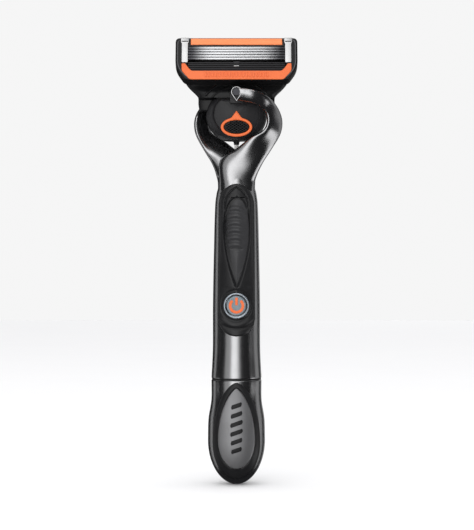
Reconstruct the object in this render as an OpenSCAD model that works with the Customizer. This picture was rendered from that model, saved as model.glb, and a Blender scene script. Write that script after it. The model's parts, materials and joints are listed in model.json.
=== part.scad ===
// Battery-powered cartridge razor: handle, swinging head pod, clip-on hub and five-blade cartridge.
// Millimetres. +Z runs up the handle, the blades face -Y, and the origin is on the handle's axis at the neck.

/* [Battery] */
// Diameter of the cell
battery_d = 10.5; // [10:0.1:13]
// Length of the cell with its terminal
battery_l = 44.5; // [40:0.5:55]
// Free space round the cell
battery_fit = 0.2; // [0.15:0.05:0.4]

/* [Handle] */
// Wall of the metal handle shell at the cap seam
shell_wall = 1.24; // [0.9:0.02:2]
// Wall of the cap's spigot
spigot_wall = 0.8; // [0.7:0.05:1.2]
// Wall of the bayonet ring
bayonet_wall = 0.95; // [0.9:0.05:1.5]
// Radial gap between parts that turn or slide in each other
run_gap = 0.1; // [0.05:0.01:0.15]
// Height of the handle shell above the button's centre
shell_above_button = 34.7; // [32:0.5:42]

/* [Cap] */
// Height of the end cap
cap_l = 36; // [33:0.5:44]
// Thickness of the gasket between cap and handle
seal_t = 0.4; // [0.3:0.05:0.8]
// How far the cap's bulb stands out past the seam, each side
bulb_out = 1.23; // [0.5:0.01:2]
// Solid floor of the cap
cap_floor = 8; // [5:0.5:9]
// Drop of the cap in a quarter turn
cap_drop = 8; // [5:0.5:9]

/* [Grip] */
// Thickness of the rubber grip
grip_t = 0.8; // [0.5:0.05:1.2]
// Half width of the front grip
grip_half_w = 6.3; // [4.8:0.1:6.4]
// Number of ribs on the thumb pad
rib_count = 6; // [3:1:9]
// Spacing of the ribs
rib_pitch = 2.3; // [2:0.1:3]

/* [Button] */
// Radius of the power button
button_r = 3.4; // [2.8:0.1:3.8]
// Travel of the power button
button_travel = 0.6; // [0.3:0.1:0.8]

/* [Drive] */
// Radius of the vibration motor
motor_r = 3; // [2:0.1:3.2]
// Length of the vibration motor's can
motor_l = 12; // [8:0.5:13]

/* [Fork] */
// Half width of the handle at the neck
neck_half_w = 6.55; // [6:0.05:8]
// Height from the neck to the pivot pin
neck_to_pin = 31.8; // [30:0.2:38]
// Radius of the pivot pin
pin_r = 1.2; // [0.9:0.05:1.4]

/* [Pod] */
// Greatest radius of the swinging pod
pod_r = 10.4; // [9:0.1:12.5]
// Travel of the eject button
eject_travel = 2.5; // [1.5:0.1:2.8]
// Radius of the plunger
plunger_r = 1.5; // [1.2:0.05:1.7]
// Travel of the plunger
plunger_travel = 3.5; // [2:0.1:3.6]

/* [Cartridge] */
// Width of the cartridge
cartridge_w = 41.2; // [34:0.2:50]
// Height of the cartridge's face, from guard to strip
cartridge_h = 15.4; // [15:0.1:18]
// Depth of the cartridge's housing
cartridge_d = 4.5; // [4:0.1:6]
// Number of blades
blade_count = 5; // [2:1:5]
// Spacing of the blades
blade_pitch = 1; // [0.9:0.05:1.1]
// Thickness of a blade
blade_t = 0.1; // [0.08:0.01:0.15]
// How far a blade can be pressed in
blade_float = 0.3; // [0.1:0.05:0.4]
// Lean of the face from upright, degrees
face_tilt = 20; // [15:1:25]

/* [Hidden] */
$fn = 48;

eps = 0.02;             // overshoot of a cut past the face it leaves
snug = 0.05;            // radial clearance of a shaft in its hole
gap = 0.15;             // clearance between parts that slide flat on each other
ring_points = 36;       // points round a lofted section
squareness = 2.2;       // exponent of the handle's section, 2 being an ellipse

// Radii, from the cell outwards
battery_r = battery_d / 2;
wrap_t = 0.15;
spigot_in = battery_r + battery_fit;
spigot_out = spigot_in + spigot_wall;
bayonet_in = spigot_out + run_gap;
bayonet_out = bayonet_in + bayonet_wall;
bore_r = spigot_out + gap;               // upper bore, which holds the chassis
chassis_r = bore_r - snug;
seam_r = bayonet_out + shell_wall;

// Heights from the foot of the cap, in the order they stack up
spring_room = 5;
disc_t = 0.5;
seam_z = cap_l + seal_t;
battery_z = cap_floor + disc_t + spring_room;
battery_top = battery_z + battery_l;
deck_t = 1;
deck_z = battery_top + 0.8;
button_z = battery_top + 3.3;
shell_top = button_z + shell_above_button;
neck_z = shell_top + 5.3;
pin_z = neck_z + neck_to_pin;
spigot_engage = 8;
bayonet_l = 12;
bulb_z = 0.42 * cap_l;

// Motor and board
motor_y = 1.8;
strip_angle = -36;                       // place of the negative strip round the chassis
strip_r = chassis_r - 0.35;
motor_z = button_z + 5;
shaft_r = 0.5;
board_y = -3.4;
board_t = 1;
board_w = 9;
board_top = motor_z + 19;
switch_y = board_y - board_t / 2 - 1.5;

// Power button, and the skins laid on the handle and the cap
bezel_r = button_r + 1;
flange_y = -seam_r + 1.6;
flange_t = 0.6;
sink = 0.3;                              // how far a skin starts inside what it lies on
grip_low = button_z - 10.4;
grip_high = neck_z + 1.2;
grip_arch = 7;
pad_low = button_z + 6.5;
pad_high = neck_z - 1.2;
pad_half_w = 4.2;
surround_t = 0.5;
surround_half_w = 7.6;
badge_t = 0.35;
glue = 0.1;                              // bond line under the thumb pad and the badge
badge_low = 6;
badge_high = cap_l - 2.5;
badge_half_w = 6.2;
lug_half = 14;                           // half angle of a cap lug, degrees
lug_h = 1;                               // half height of a cap lug
ramp_rise = cap_drop / 90;               // drop of the ramp for each degree
lug_z = seam_z + 6;
tail_r = 0.9;

// Swinging pod
pod_z = pin_z - 0.68 * pod_r;            // height of the pod's widest section
pod_bottom = pin_z - 15.7;
pod_top = pin_z - 2;
pod_flat = 0.71 * pod_r;                 // distance of the flat faces from the axis
arm_face = 0.885 * pod_r;                // back of the fork's end bosses
boss_r = pin_r + 0.55;
ear_r = pin_r + 1.1;

// Docking head, hub and plunger
dock = [13, 7];
dock_y = 0.4;
dock_top = pin_z + 1.2;
hub_bottom = pod_top + 0.3;
hub_top = pin_z + 2.9;
hub_front = -5.2;
hub_back = 4.7;
window_w = 4.6;
skirt_in = pod_r + 0.2;                  // skirts of the hub, beside the pod
skirt_out = pod_r + 2.5;
skirt_low = pin_z - 5.8;
skirt_y = 2.6;
apron_half_w = 15.5;
plunger_collar_r = plunger_r + 0.7;
spring_wire_r = 0.25;

// Cartridge: its pivot and the lower front edge of its face
pivot_z = hub_top + 2.33;
pivot_y = hub_front + 1.66;
pivot_pin_r = 1.05;
lug_r = 2;
pivot_u = cartridge_d + lug_r;           // depth of the pivot behind the face
pivot_v = 2.5;                           // height of the pivot above the face's lower edge
face_y = pivot_y - pivot_u * cos(face_tilt) - pivot_v * sin(face_tilt);
face_z = pivot_z - pivot_v * cos(face_tilt) + pivot_u * sin(face_tilt);
half_w = cartridge_w / 2;
comb_arm_x = half_w - 3.2;
end_w = 4;                               // width of the housing's solid ends
window_half_w = half_w - end_w;
lug_x = half_w - 6.7;                    // middle of each pivot lug
lug_t = 2;
hub_ear_t = 2;
guard_top = 3.6;
fins_top = 6.9;
blade_v = 7.45;                          // height of the lowest blade's edge
strip_h = 2.6;
strip_v = cartridge_h - 0.1 - strip_h;
clip_w = 2.5;
clip_x = half_w - 1.9 - clip_w / 2;
clip_t = 0.25;
clip_v = [6.4, cartridge_h + 0.1];

// ---------- curves and lofts ----------

// Smooth curve through the [height, value] rows of a table
function row_at(z, t, i = 0) = (i >= len(t) - 2 || z < t[i + 1][0]) ? i : row_at(z, t, i + 1);
function slope_at(t, i) =
  let(a = max(i - 1, 0), b = min(i + 1, len(t) - 1)) (t[b][1] - t[a][1]) / (t[b][0] - t[a][0]);
function smooth(z, t) =
  let(i = row_at(z, t), h = t[i + 1][0] - t[i][0], s = (z - t[i][0]) / h)
  (2 * s^3 - 3 * s^2 + 1) * t[i][1] + (s^3 - 2 * s^2 + s) * h * slope_at(t, i)
  + (3 * s^2 - 2 * s^3) * t[i + 1][1] + (s^3 - s^2) * h * slope_at(t, i + 1);
function steps(from, to, n) = [for (i = [0 : n]) from + (to - from) * i / n];
function unit(v) = v / norm(v);

// Half width, half depth and forward lean of the handle between the cap seam and the neck
barrel_w = [[seam_z, seam_r], [seam_z + 10, seam_r - 0.45], [button_z, seam_r - 0.5],
  [button_z + 19, seam_r - 0.85], [shell_top, seam_r - 1.3], [neck_z, neck_half_w],
      [neck_z + 4, neck_half_w]];
barrel_d = [[seam_z, seam_r], [seam_z + 14, seam_r + 0.5], [button_z, seam_r + 0.6],
  [button_z + 19, seam_r + 0.2], [shell_top, seam_r - 0.85], [neck_z, neck_half_w + 0.2],
      [neck_z + 4, neck_half_w]];
lean = [[0, 1.2], [bulb_z, 0.9], [cap_l, 0], [seam_z + 8, -0.1], [button_z, -0.5], [button_z + 19, -0.7],
  [shell_top, -0.3], [neck_z, 0], [neck_z + 4, 0]];
// The cap's sections, from the round foot to the seam
cap_w = [[bulb_z, seam_r + bulb_out], [0.62 * cap_l, seam_r + 0.84 * bulb_out],
    [0.8 * cap_l, seam_r + 0.05],
  [cap_l, seam_r]];
foot_r = seam_r + bulb_out;
function half_width(z) = z > seam_z ? smooth(z, barrel_w)
  : z > bulb_z ? smooth(z, cap_w) : foot_r * sqrt(max(0, 1 - ((bulb_z - z) / bulb_z)^2));
function half_depth(z) = z > seam_z ? smooth(z, barrel_d)
  : z > bulb_z ? smooth(z, cap_w) : foot_r * sqrt(max(0, 1 - ((bulb_z - z) / bulb_z)^2));
function side(c) = sign(c) * abs(c)^(2 / squareness);
function section(z, t = 0) = [for (i = [0 : ring_points - 1]) let(a = 360 * i / ring_points)
  [(half_width(z) + t) * side(cos(a)), (half_depth(z) + t) * side(sin(a)) + smooth(z, lean), z]];

// Closed solid through rings of points, lowest ring first
module loft(rings) {
  n = len(rings[0]);
  last = len(rings) - 1;
  walls = [for (j = [0 : last - 1], i = [0 : n - 1]) let(k = (i + 1) % n)
    each [[j * n + i, (j + 1) * n + k, j * n + k], [j * n + i, (j + 1) * n + i, (j + 1) * n + k]]];
  foot = [for (i = [1 : n - 2]) [0, i, i + 1]];
  head = [for (i = [1 : n - 2]) [last * n, last * n + i + 1, last * n + i]];
  polyhedron([for (r = rings) each r], concat(walls, foot, head));
}

// Tube of radius r along a route of points
module tube(route, r, sides = 8) {
  last = len(route) - 1;
  function heading(i) = unit(route[min(i + 1, last)] - route[max(i - 1, 0)]);
  function across(d) = unit(cross(d, abs(d.x) < 0.9 ? [1, 0, 0] : [0, 1, 0]));
  loft([for (i = [0 : last]) let(d = heading(i), u = across(d), v = cross(d, u))
    [for (s = [0 : sides - 1]) let(a = 360 * s / sides) route[i] + r * (u * cos(a) + v * sin(a))]]);
}

// Point on the handle's front (dir -1) or back (dir 1), x from the middle and t proud of the shell
function face_point(x, z, t, dir) =
  let(w = half_width(z) + t, d = half_depth(z) + t)
  [x, dir * d * max(0, 1 - (abs(x) / w)^squareness)^(1 / squareness) + smooth(z, lean), z];

// Skin on the handle between heights zs; widths holds its half width at each; low and high are its depths
module skin(zs, widths, low, high, dir, columns = 14) {
  n = columns + 1;
  rows = len(zs);
  function row(j, t) = [for (i = [0 : columns])
    let(x = widths[j] * (2 * i / columns - 1), edge = (i == 0 || i == columns || j == 0 || j == rows - 1)
        ? 0.35 : 1)
    face_point(x, zs[j], low + (t - low) * (t > low ? edge : 1), dir)];
  outer = [for (j = [0 : rows - 1]) each row(j, high)];
  inner = [for (j = [0 : rows - 1]) each row(j, low)];
  m = rows * n;
  function quad(a, b, c, d) = dir < 0 ? [[a, c, b], [a, d, c]] : [[a, b, c], [a, c, d]];
  top = [for (j = [0 : rows - 2], i = [0 : columns - 1])
      let(a = j * n + i) each quad(a, a + n, a + n + 1, a + 1)];
  under = [for (j = [0 : rows - 2], i = [0 : columns - 1]) let(a = m + j * n + i)
    each quad(a, a + 1, a + n + 1, a + n)];
  ends = [for (i = [0 : columns - 1]) let(b = (rows - 1) * n + i)
    each concat(quad(i, i + 1, m + i + 1, m + i), quad(b, m + b, m + b + 1, b + 1))];
  sides = [for (j = [0 : rows - 2]) let(a = j * n, b = j * n + columns)
    each concat(quad(a, m + a, m + a + n, a + n), quad(b, b + n, m + b + n, m + b))];
  polyhedron(concat(outer, inner), concat(top, under, ends, sides));
}

// ---------- places ----------

module from_foot() { translate([0, 0, -neck_z]) children(); }
module along_y(z, y = 0, x = 0) { translate([x, y, z]) rotate([-90, 0, 0]) children(); }
module along_x(x, y, z) { translate([x, y, z]) rotate([0, 90, 0]) children(); }
// The face's own frame: x across, y into the housing, z up the face from its lower front edge
module on_face() { from_foot() translate([0, face_y, face_z]) rotate([-face_tilt, 0, 0]) children(); }
module face_plate(x0, x1, u0, u1, v0, v1) { translate([x0, u0, v0]) cube([x1 - x0, u1 - u0, v1 - v0]); }
// Outline in the face's plane, carried into the housing from depth u0 to u1
module face_outline(u0, u1) { translate([0, u1, 0]) rotate([90, 0, 0]) linear_extrude(u1 - u0) children(); }
module ring(inner, outer, h) {
  difference() {
    cylinder(r = outer, h = h);
    translate([0, 0, -eps]) cylinder(r = inner, h = h + 2 * eps);
  }
}

// ---------- fork ----------

// One arm, from the neck round the side of the pod to the front of the pin. Each row holds the section's
// middle, its half width as a vector, and its half thickness. Rows from the third on are in pod radii.
module fork_arm() {
  low = [[[0.2, -2.3, neck_z + 0.5], [5.6, 0, 0], 3.6], [[0.7, -3.4, neck_z + 6], [6.1, 0.4, -3.2], 2.8]];
  high = [for (s = [
      [[0.42, -0.46, -2.03], [0.44, 0.1, -0.22], 0.2], [[0.8, -0.56, -1.63], [0.39, 0.19, -0.15], 0.13],
      [[1.12, -0.51, -1.3], [0.28, 0.24, -0.05], 0.11], [[1.23, -0.49, -1.03], [0.25, 0.25, 0.01], 0.105],
      [[1.22, -0.49, -0.74], [0.22, 0.25, 0.04], 0.105], [[1.08, -0.62, -0.47], [0.19, 0.17, 0.1], 0.105],
      [[0.85, -0.83, -0.26], [0.16, 0.07, 0.15], 0.11], [[0.55, -0.97, -0.14], [0.1, 0.02, 0.2], 0.11],
      [[0.25, -1.01, -0.09], [0.03, 0, 0.23], 0.11], [[-0.02, -1.01, -0.06], [0, 0, 0.22], 0.11]])
    [[0, 0, pin_z] + pod_r * s[0], pod_r * s[1], pod_r * s[2]]];
  rows = concat(low, high);
  last = len(rows) - 1;
  loft([for (i = [0 : last])
    let(d = unit(rows[min(i + 1, last)][0] - rows[max(i - 1, 0)][0]), u = rows[i][1],
        v = rows[i][2] * unit(cross(d, u)))
    [for (s = [0 : 15]) let(a = 360 * s / 16) rows[i][0] + u * cos(a) + v * sin(a)]]);
}

module neck() {
  crown = [[0, 1], [3.2, 0.93], [5.2, 0.72], [6.4, 0.35]];
  neck_rings = [for (z = steps(shell_top, neck_z + 1, 4)) section(z)];
  crown_rings = [for (c = crown) [for (p = section(neck_z + 1.2)) [p.x * c[1], p.y * c[1],
      neck_z + 1.2 + c[0]]]];
  loft(concat(neck_rings, crown_rings));
}

module fork_frame() {
  color("#3a3d42") from_foot() difference() {
    union() {
      neck();
      translate([0, 0, shell_top - 6]) cylinder(r = chassis_r, h = 6 + eps);
      for (turn = [0, 180]) rotate([0, 0, turn]) {
        fork_arm();
        along_y(pin_z, -arm_face - 2.1) cylinder(r = boss_r, h = 2.1);
      }
    }
    translate([0, 0, neck_z + 4]) cylinder(r = tail_r, h = 12);
    for (turn = [0, 180]) rotate([0, 0, turn]) along_y(pin_z, -2 * pod_r)
        cylinder(r = pin_r, h = 2 * pod_r - arm_face - 2.1);
  }
}

// Headed pin, its shank reaching into the pod's ear
module pivot_pin() {
  along_y(pin_z, -arm_face - 2.5) cylinder(r = pin_r, h = 0.4);
  along_y(pin_z, -arm_face) cylinder(r = pin_r, h = arm_face - pod_flat + 1.7);
}
module front_pivot_pin() { color("#202226") from_foot() pivot_pin(); }
module rear_pivot_pin() { color("#202226") from_foot() rotate([0, 0, 180]) pivot_pin(); }

module tail_spring() {
  color("#d9dcdf") from_foot() translate([0, 0, neck_z + 4])
      cylinder(r = tail_r, h = pod_bottom + 2 - neck_z - 4);
}

// ---------- handle ----------

module barrel_envelope() { loft([for (z = steps(seam_z, shell_top, 12)) section(z)]); }
module handle_solid() {
  barrel_envelope();
  neck();
}
module barrel_shell() {
  color("#5c6066") from_foot() difference() {
    barrel_envelope();
    translate([0, 0, seam_z - eps]) cylinder(r = bayonet_out, h = bayonet_l + eps);
    translate([0, 0, seam_z]) cylinder(r = bore_r, h = shell_top);
    along_y(button_z, -2 * seam_r) cylinder(r = button_r + snug * 2, h = 2 * seam_r);
    along_y(button_z, -seam_r + 0.95) cylinder(r = bezel_r, h = seam_r - 0.95);
    along_y(button_z, -2 * seam_r) cylinder(r = bezel_r, h = seam_r + 0.5);
  }
}

// Ring with two ramps for the cap's lugs
module bayonet_ring() {
  ramp_h = lug_h + 2 * gap + ramp_rise * lug_half + 0.3;
  color("#8f9398") from_foot() difference() {
    translate([0, 0, seam_z]) ring(bayonet_in, bayonet_out, bayonet_l);
    for (turn = [0, 180]) rotate([0, 0, turn])
      loft([for (a = [-20 : 5 : 120])
        let(c = lug_z - cap_drop * a / 90, r0 = spigot_out - 0.2, r1 = bayonet_out - 0.25,
            dir = [cos(a), sin(a), 0])
        [dir * r0 + [0, 0, c - ramp_h], dir * r0 + [0, 0, c + ramp_h], dir * r1 + [0, 0, c + ramp_h],
          dir * r1 + [0, 0, c - ramp_h]]]);
  }
}

function arch(z, low, high, w, round_low, round_high) =
  w * sqrt(max(0.001, 1 - (max(0, low + round_low - z) / round_low)^2))
  * sqrt(max(0.001, 1 - (max(0, z - high + round_high) / round_high)^2));

module front_skin() {
  zs = concat([for (a = [0 : 15 : 75]) grip_low + grip_half_w * (1 - cos(a))],
    steps(grip_low + grip_half_w, grip_high - grip_arch, 8),
    [for (a = [15 : 15 : 90]) grip_high - grip_arch + grip_arch * sin(a)]);
  widths = [for (z = zs)
    arch(z, grip_low, grip_high, grip_half_w - 0.3 * (z - grip_low) / 50, grip_half_w, grip_arch)];
  skin(zs, widths, -sink, grip_t, -1);
}
module grip_front() {
  color("#1b1c1e") from_foot() difference() {
    front_skin();
    handle_solid();
    along_y(button_z, -2 * seam_r) cylinder(r = bezel_r, h = 2 * seam_r);
  }
}

// Pointed pad with ribs, above the button
module thumb_pad() {
  zs = steps(pad_low, pad_high, 44);
  pad_t = 0.35;
  rib_start = 3.6;
  rib_half = 0.4;
  function half(z) = pad_half_w * sin(min(90, 90 * (z - pad_low) / 22))^0.8
    * sqrt(max(0.002, 1 - (max(0, z - pad_high + 4) / 4)^2));
  color("#26282b") from_foot() {
    skin(zs, [for (z = zs) max(0.08, half(z))], grip_t + glue, grip_t + glue + pad_t, -1, 8);
    for (i = [0 : rib_count - 1]) let(z = pad_high - rib_start - rib_pitch * (i + 0.5), w = half(z) - 0.6)
      skin([z - rib_half, z, z + rib_half], [w, w, w], grip_t + glue + pad_t, grip_t + glue + 2 * pad_t,
        -1, 8);
  }
}

module grip_rear() {
  foot_z = seam_z + 6;
  foot_arch = 6;
  zs = concat([for (a = [0 : 15 : 75]) foot_z + foot_arch * (1 - cos(a))],
    steps(foot_z + foot_arch, grip_high - grip_arch, 10),
    [for (a = [15 : 15 : 90]) grip_high - grip_arch + grip_arch * sin(a)]);
  color("#1b1c1e") from_foot() difference() {
    skin(zs, [for (z = zs) arch(z, foot_z, grip_high, grip_half_w + 0.4, foot_arch, grip_arch)], -sink,
        grip_t, 1);
    handle_solid();
  }
}

// ---------- power button ----------

button_face = -(smooth(button_z, barrel_d) - smooth(button_z, lean)) - 1.2;
module button_bezel() {
  color("#b9c4cc") from_foot() along_y(button_z, button_face - 0.2)
    ring(button_r + 0.15, bezel_r, -seam_r - 0.5 - button_face + 0.2);
}
module button_seal() {
  color("#141414") from_foot() along_y(button_z, -seam_r + 0.95) ring(button_r + 0.15, button_r + 0.9, 0.5);
}
module power_button() {
  color("#55585c") from_foot() {
    along_y(button_z, button_face) cylinder(r = button_r, h = flange_y - button_face + flange_t);
    along_y(button_z, flange_y) cylinder(r = button_r + 0.8, h = flange_t);
  }
}
module power_symbol() {
  color("#f26a1b") from_foot() {
    along_y(button_z, button_face - 0.05) rotate([0, 0, -55]) rotate_extrude(angle = 290)
        translate([1.35, 0]) square([0.35, 0.05]);
    translate([-0.18, button_face - 0.05, button_z + 0.5]) cube([0.36, 0.05, 1.9]);
  }
}
module switch_stem() {
  color("#e8e8e8") from_foot() along_y(button_z, flange_y + flange_t)
      cylinder(r = 0.8, h = switch_y - flange_y - flange_t + 0.1);
}

// ---------- inside the handle ----------

module chassis() {
  color("#3f4347") from_foot() difference() {
    union() {
      translate([0, 0, seam_z + bayonet_l + 0.4])
          ring(spigot_in, chassis_r, deck_z + deck_t - seam_z - bayonet_l - 0.4);
      translate([0, 0, deck_z]) cylinder(r = chassis_r, h = deck_t);
      difference() {
        translate([0, 0, deck_z]) ring(chassis_r - 0.8, chassis_r, board_top - deck_z);
        translate([-chassis_r, -2 * chassis_r + board_y + 1, deck_z + deck_t])
            cube([2 * chassis_r, 2 * chassis_r, board_top]);
      }
      for (z = [motor_z + 1, motor_z + motor_l - 2]) difference() {
        translate([0, 0, z]) cylinder(r = chassis_r - 0.4, h = 1.2);
        translate([-chassis_r, -chassis_r + board_y - 0.5 + board_t, z - 1])
            cube([2 * chassis_r, chassis_r, 4]);
      }
    }
    translate([0, motor_y, motor_z - 1]) cylinder(r = motor_r, h = motor_l + 2);
    translate([-1.5, -1.5, deck_z - 1]) cube([3, 3, 3]);
    rotate([0, 0, strip_angle]) translate([strip_r, -1.2, seam_z]) cube([3, 2.4, board_top - seam_z + 5]);
    along_y(button_z, -2 * seam_r)
      cylinder(r = button_r + 1.1, h = 2 * seam_r + flange_y + flange_t + button_travel + gap);
  }
}
module circuit_board() {
  color("#1f5a34") from_foot() translate([-board_w / 2, board_y - board_t / 2, deck_z + deck_t])
    cube([board_w, board_t, board_top - deck_z - deck_t - 1]);
}
module tact_switch() {
  color("#c9ccd0") from_foot() difference() {
    translate([-1.75, switch_y, button_z - 1.25]) cube([3.5, 1.5, 2.9]);
    along_y(button_z, switch_y - 1) cylinder(r = 0.9, h = 2.2);
  }
}
module motor_can() {
  color("#a9adb2") from_foot() difference() {
    union() {
      translate([0, motor_y, motor_z]) cylinder(r = motor_r, h = motor_l);
      translate([0, motor_y, motor_z + motor_l]) cylinder(r = 1.1, h = 0.8);
    }
    translate([0, motor_y, motor_z + motor_l - 4]) cylinder(r = shaft_r + snug, h = 5);
  }
}
module motor_leads() {
  color("#b03028") from_foot() for (x = [-1, 1])
    tube([[x, motor_y, motor_z], [x, motor_y - 0.2, motor_z - 0.8], [x * 1.3, motor_y - 1.4, motor_z - 1.5],
      [x * 1.6, motor_y - 3.2, motor_z - 1.7], [x * 1.8, board_y + board_t / 2, motor_z - 1.7]], 0.3);
}
module motor_shaft() {
  color("#d5d8db") from_foot() translate([0, motor_y, motor_z + motor_l - 3.8])
      cylinder(r = shaft_r, h = 9);
}
module eccentric_weight() {
  color("#8c7f6a") from_foot() translate([0, motor_y, motor_z + motor_l + 1.2]) difference() {
    union() {
      intersection() {
        cylinder(r = 2.7, h = 4);
        translate([-3, 0, 0]) cube([6, 3, 4]);
      }
      cylinder(r = 1.2, h = 4);
    }
    translate([0, 0, -eps]) cylinder(r = shaft_r, h = 4.2);
  }
}
module positive_contact() {
  color("#d8c27a") from_foot() {
    translate([-1.3, -1.3, battery_top]) cube([2.6, 2.6, 0.2]);
    translate([-1.3, -1.3, battery_top]) cube([2.6, 0.2, deck_z + deck_t + 0.4 - battery_top]);
    translate([-1.3, board_y + board_t / 2, deck_z + deck_t + 0.2])
        cube([2.6, -1.1 - board_y - board_t / 2, 0.2]);
  }
}
module negative_strip() {
  board_corner = norm([board_w / 2, board_y - board_t / 2]);
  color("#d8c27a") from_foot() rotate([0, 0, strip_angle]) {
    translate([strip_r, -1, seam_z + bayonet_l + 0.4]) cube([0.3, 2, deck_z + 7 - seam_z - bayonet_l]);
    translate([board_corner + 0.05, -0.6, deck_z + 3]) cube([strip_r - board_corner - 0.05, 1.2, 1.2]);
  }
}
module battery_can() {
  color("#c2c5c8") from_foot() {
    translate([0, 0, battery_z]) cylinder(r = battery_r - wrap_t, h = battery_l - 1);
    translate([0, 0, battery_z + battery_l - 1 - eps]) cylinder(r = 1.9, h = 1 + eps);
  }
}
module battery_wrap() {
  color("#2e6fb3") from_foot() translate([0, 0, battery_z + 0.5])
      ring(battery_r - wrap_t, battery_r, battery_l - 2);
}

// ---------- cap ----------

module cap_seal_ring() {
  color("#0e0e0e") from_foot() translate([0, 0, cap_l]) ring(spigot_out + 0.05, seam_r - 0.15, seal_t);
}
module cap_envelope() {
  foot = [for (a = [8 : 12 : 80]) bulb_z * (1 - cos(a))];
  loft([for (z = concat(foot, steps(bulb_z, cap_l, 7))) section(z)]);
}
module cap_shell() {
  color("#4a4d52") from_foot() difference() {
    cap_envelope();
    translate([0, 0, cap_floor]) cylinder(r = spigot_out, h = cap_l);
  }
}
module surround_skin() {
  low = 2;
  high = cap_l - 0.6;
  foot_arch = 10;
  head_arch = 4;
  zs = concat([for (a = [8 : 14 : 78]) low + foot_arch * (1 - cos(a))],
    steps(low + foot_arch, high - head_arch, 8),
        [for (a = [20 : 20 : 80]) high - head_arch + head_arch * sin(a)]);
  skin(zs, [for (z = zs) arch(z, low, high, surround_half_w, foot_arch, head_arch)], -sink, surround_t, -1);
}
module cap_grip() {
  color("#17181a") from_foot() difference() {
    surround_skin();
    cap_envelope();
  }
}
module cap_badge() {
  foot_arch = 9;
  knee = badge_low + foot_arch;
  zs = concat([for (a = [8 : 16 : 88]) badge_low + foot_arch * (1 - cos(a))],
    [for (a = [6 : 14 : 90]) knee + (badge_high - knee) * sin(a)]);
  function half(z) = z < knee ? badge_half_w * sqrt(max(0.002, 1 - ((knee - z) / foot_arch)^2))
    : badge_half_w * cos(90 * min(0.985, (z - knee) / (badge_high - knee)))^0.75;
  color("#8b8f93") from_foot() skin(zs, [for (z = zs) half(z)], surround_t + glue,
      surround_t + glue + badge_t, -1, 10);
}
module cap_spigot() {
  color("#3f4347") from_foot() {
    translate([0, 0, cap_l - 14]) ring(spigot_in, spigot_out, 14 + seal_t + spigot_engage);
    for (turn = [0, 180]) rotate([0, 0, turn - lug_half]) rotate_extrude(angle = 2 * lug_half)
      translate([spigot_out - 0.1, lug_z - lug_h]) square([bayonet_wall - 0.25, 2 * lug_h]);
  }
}
module contact_disc() { color("#d8c27a") from_foot() translate([0, 0, cap_floor])
    cylinder(r = spigot_out - 0.3, h = disc_t); }
module contact_spring() {
  coils = 5;
  color("#d8c27a") from_foot() tube([for (i = [0 : 8 * coils])
    let(s = i / (8 * coils), r = spigot_in - 1 - 2 * s, a = 45 * i)
    [r * cos(a), r * sin(a), cap_floor + disc_t + 0.3 + (spring_room - 0.65) * s]], 0.3, 6);
}

// ---------- pod ----------

function pod_section(z) =
  let(top = pod_top - pod_z, low = pod_z - pod_bottom, s = z > pod_z ? (z - pod_z) / top * 0.55
      : (pod_z - z) / low * 0.9)
  pod_r * sqrt(1 - s^2);
module pod_body() {
  intersection() {
    union() {
      rotate_extrude() polygon(concat([[0, pod_bottom]],
          [for (z = steps(pod_bottom, pod_top, 12)) [pod_section(z), z]], [[0, pod_top]]));
      for (turn = [0, 180]) rotate([0, 0, turn]) {
        along_y(pin_z, -pod_flat) cylinder(r = ear_r, h = pod_flat + hub_front - 0.3);
        translate([-ear_r, -pod_flat, pod_top - 1])
            cube([2 * ear_r, pod_flat + hub_front - 0.3, pin_z - pod_top + 1]);
      }
      translate([0, 0, pod_bottom - 0.7]) cylinder(r = 1.7, h = 1);
    }
    translate([-2 * pod_r, -pod_flat, pod_bottom - 1]) cube([4 * pod_r, 2 * pod_flat, 30]);
  }
}
module pod_hollows() {
  translate([-dock.x / 2, dock_y - dock.y / 2, pod_top - 3]) cube([dock.x, dock.y, 6]);
  translate([0, dock_y, pod_bottom + 3]) cylinder(r = plunger_collar_r + 0.3, h = 12);
  translate([0, 0, pod_bottom - 1]) cylinder(r = tail_r + 0.3, h = 3.4);
  translate([-slider_w / 2 - gap, -pod_flat - 1, slot_low])
      cube([slider_w + 2 * gap, pod_flat - 2, slider_h + eject_travel + 2 * gap]);
  translate([-slider_w / 2 - gap, -5.2, slot_low]) cube([slider_w + 2 * gap, 1.7, 20]);
  for (turn = [0, 180]) rotate([0, 0, turn])
    along_y(pin_z, -pod_flat - 1) cylinder(r = pin_r + snug, h = 1 + 1.9);
}
module pod_half(dir) {
  from_foot() difference() {
    intersection() {
      pod_body();
      translate([-2 * pod_r, dir < 0 ? -2 * pod_r : dock_y, pod_bottom - 1])
          cube([4 * pod_r, dir < 0 ? 2 * pod_r + dock_y : 2 * pod_r, 30]);
    }
    pod_hollows();
  }
}
module pod_front_cover() { color("#2a2b2e") pod_half(-1); }
module pod_rear_cover() { color("#2a2b2e") pod_half(1); }
module docking_head() {
  color("#1d1e20") from_foot() difference() {
    translate([-dock.x / 2, dock_y - dock.y / 2, pod_top - 3])
        cube([dock.x, dock.y, dock_top - pod_top + 3]);
    translate([0, dock_y, pod_top - 4]) cylinder(r = plunger_r + snug, h = 10);
  }
}
collar_z = pod_top - 4.4;
module plunger() {
  tip = pivot_z - gap / 2;
  color("#e7e7e3") from_foot() translate([0, dock_y, 0]) {
    translate([0, 0, collar_z]) cylinder(r = plunger_collar_r, h = 1.2);
    translate([0, 0, collar_z]) cylinder(r = plunger_r, h = tip - 0.8 - collar_z);
    translate([0, 0, tip - 0.8]) cylinder(r1 = plunger_r, r2 = plunger_r - 0.6, h = 0.8);
  }
}
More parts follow.
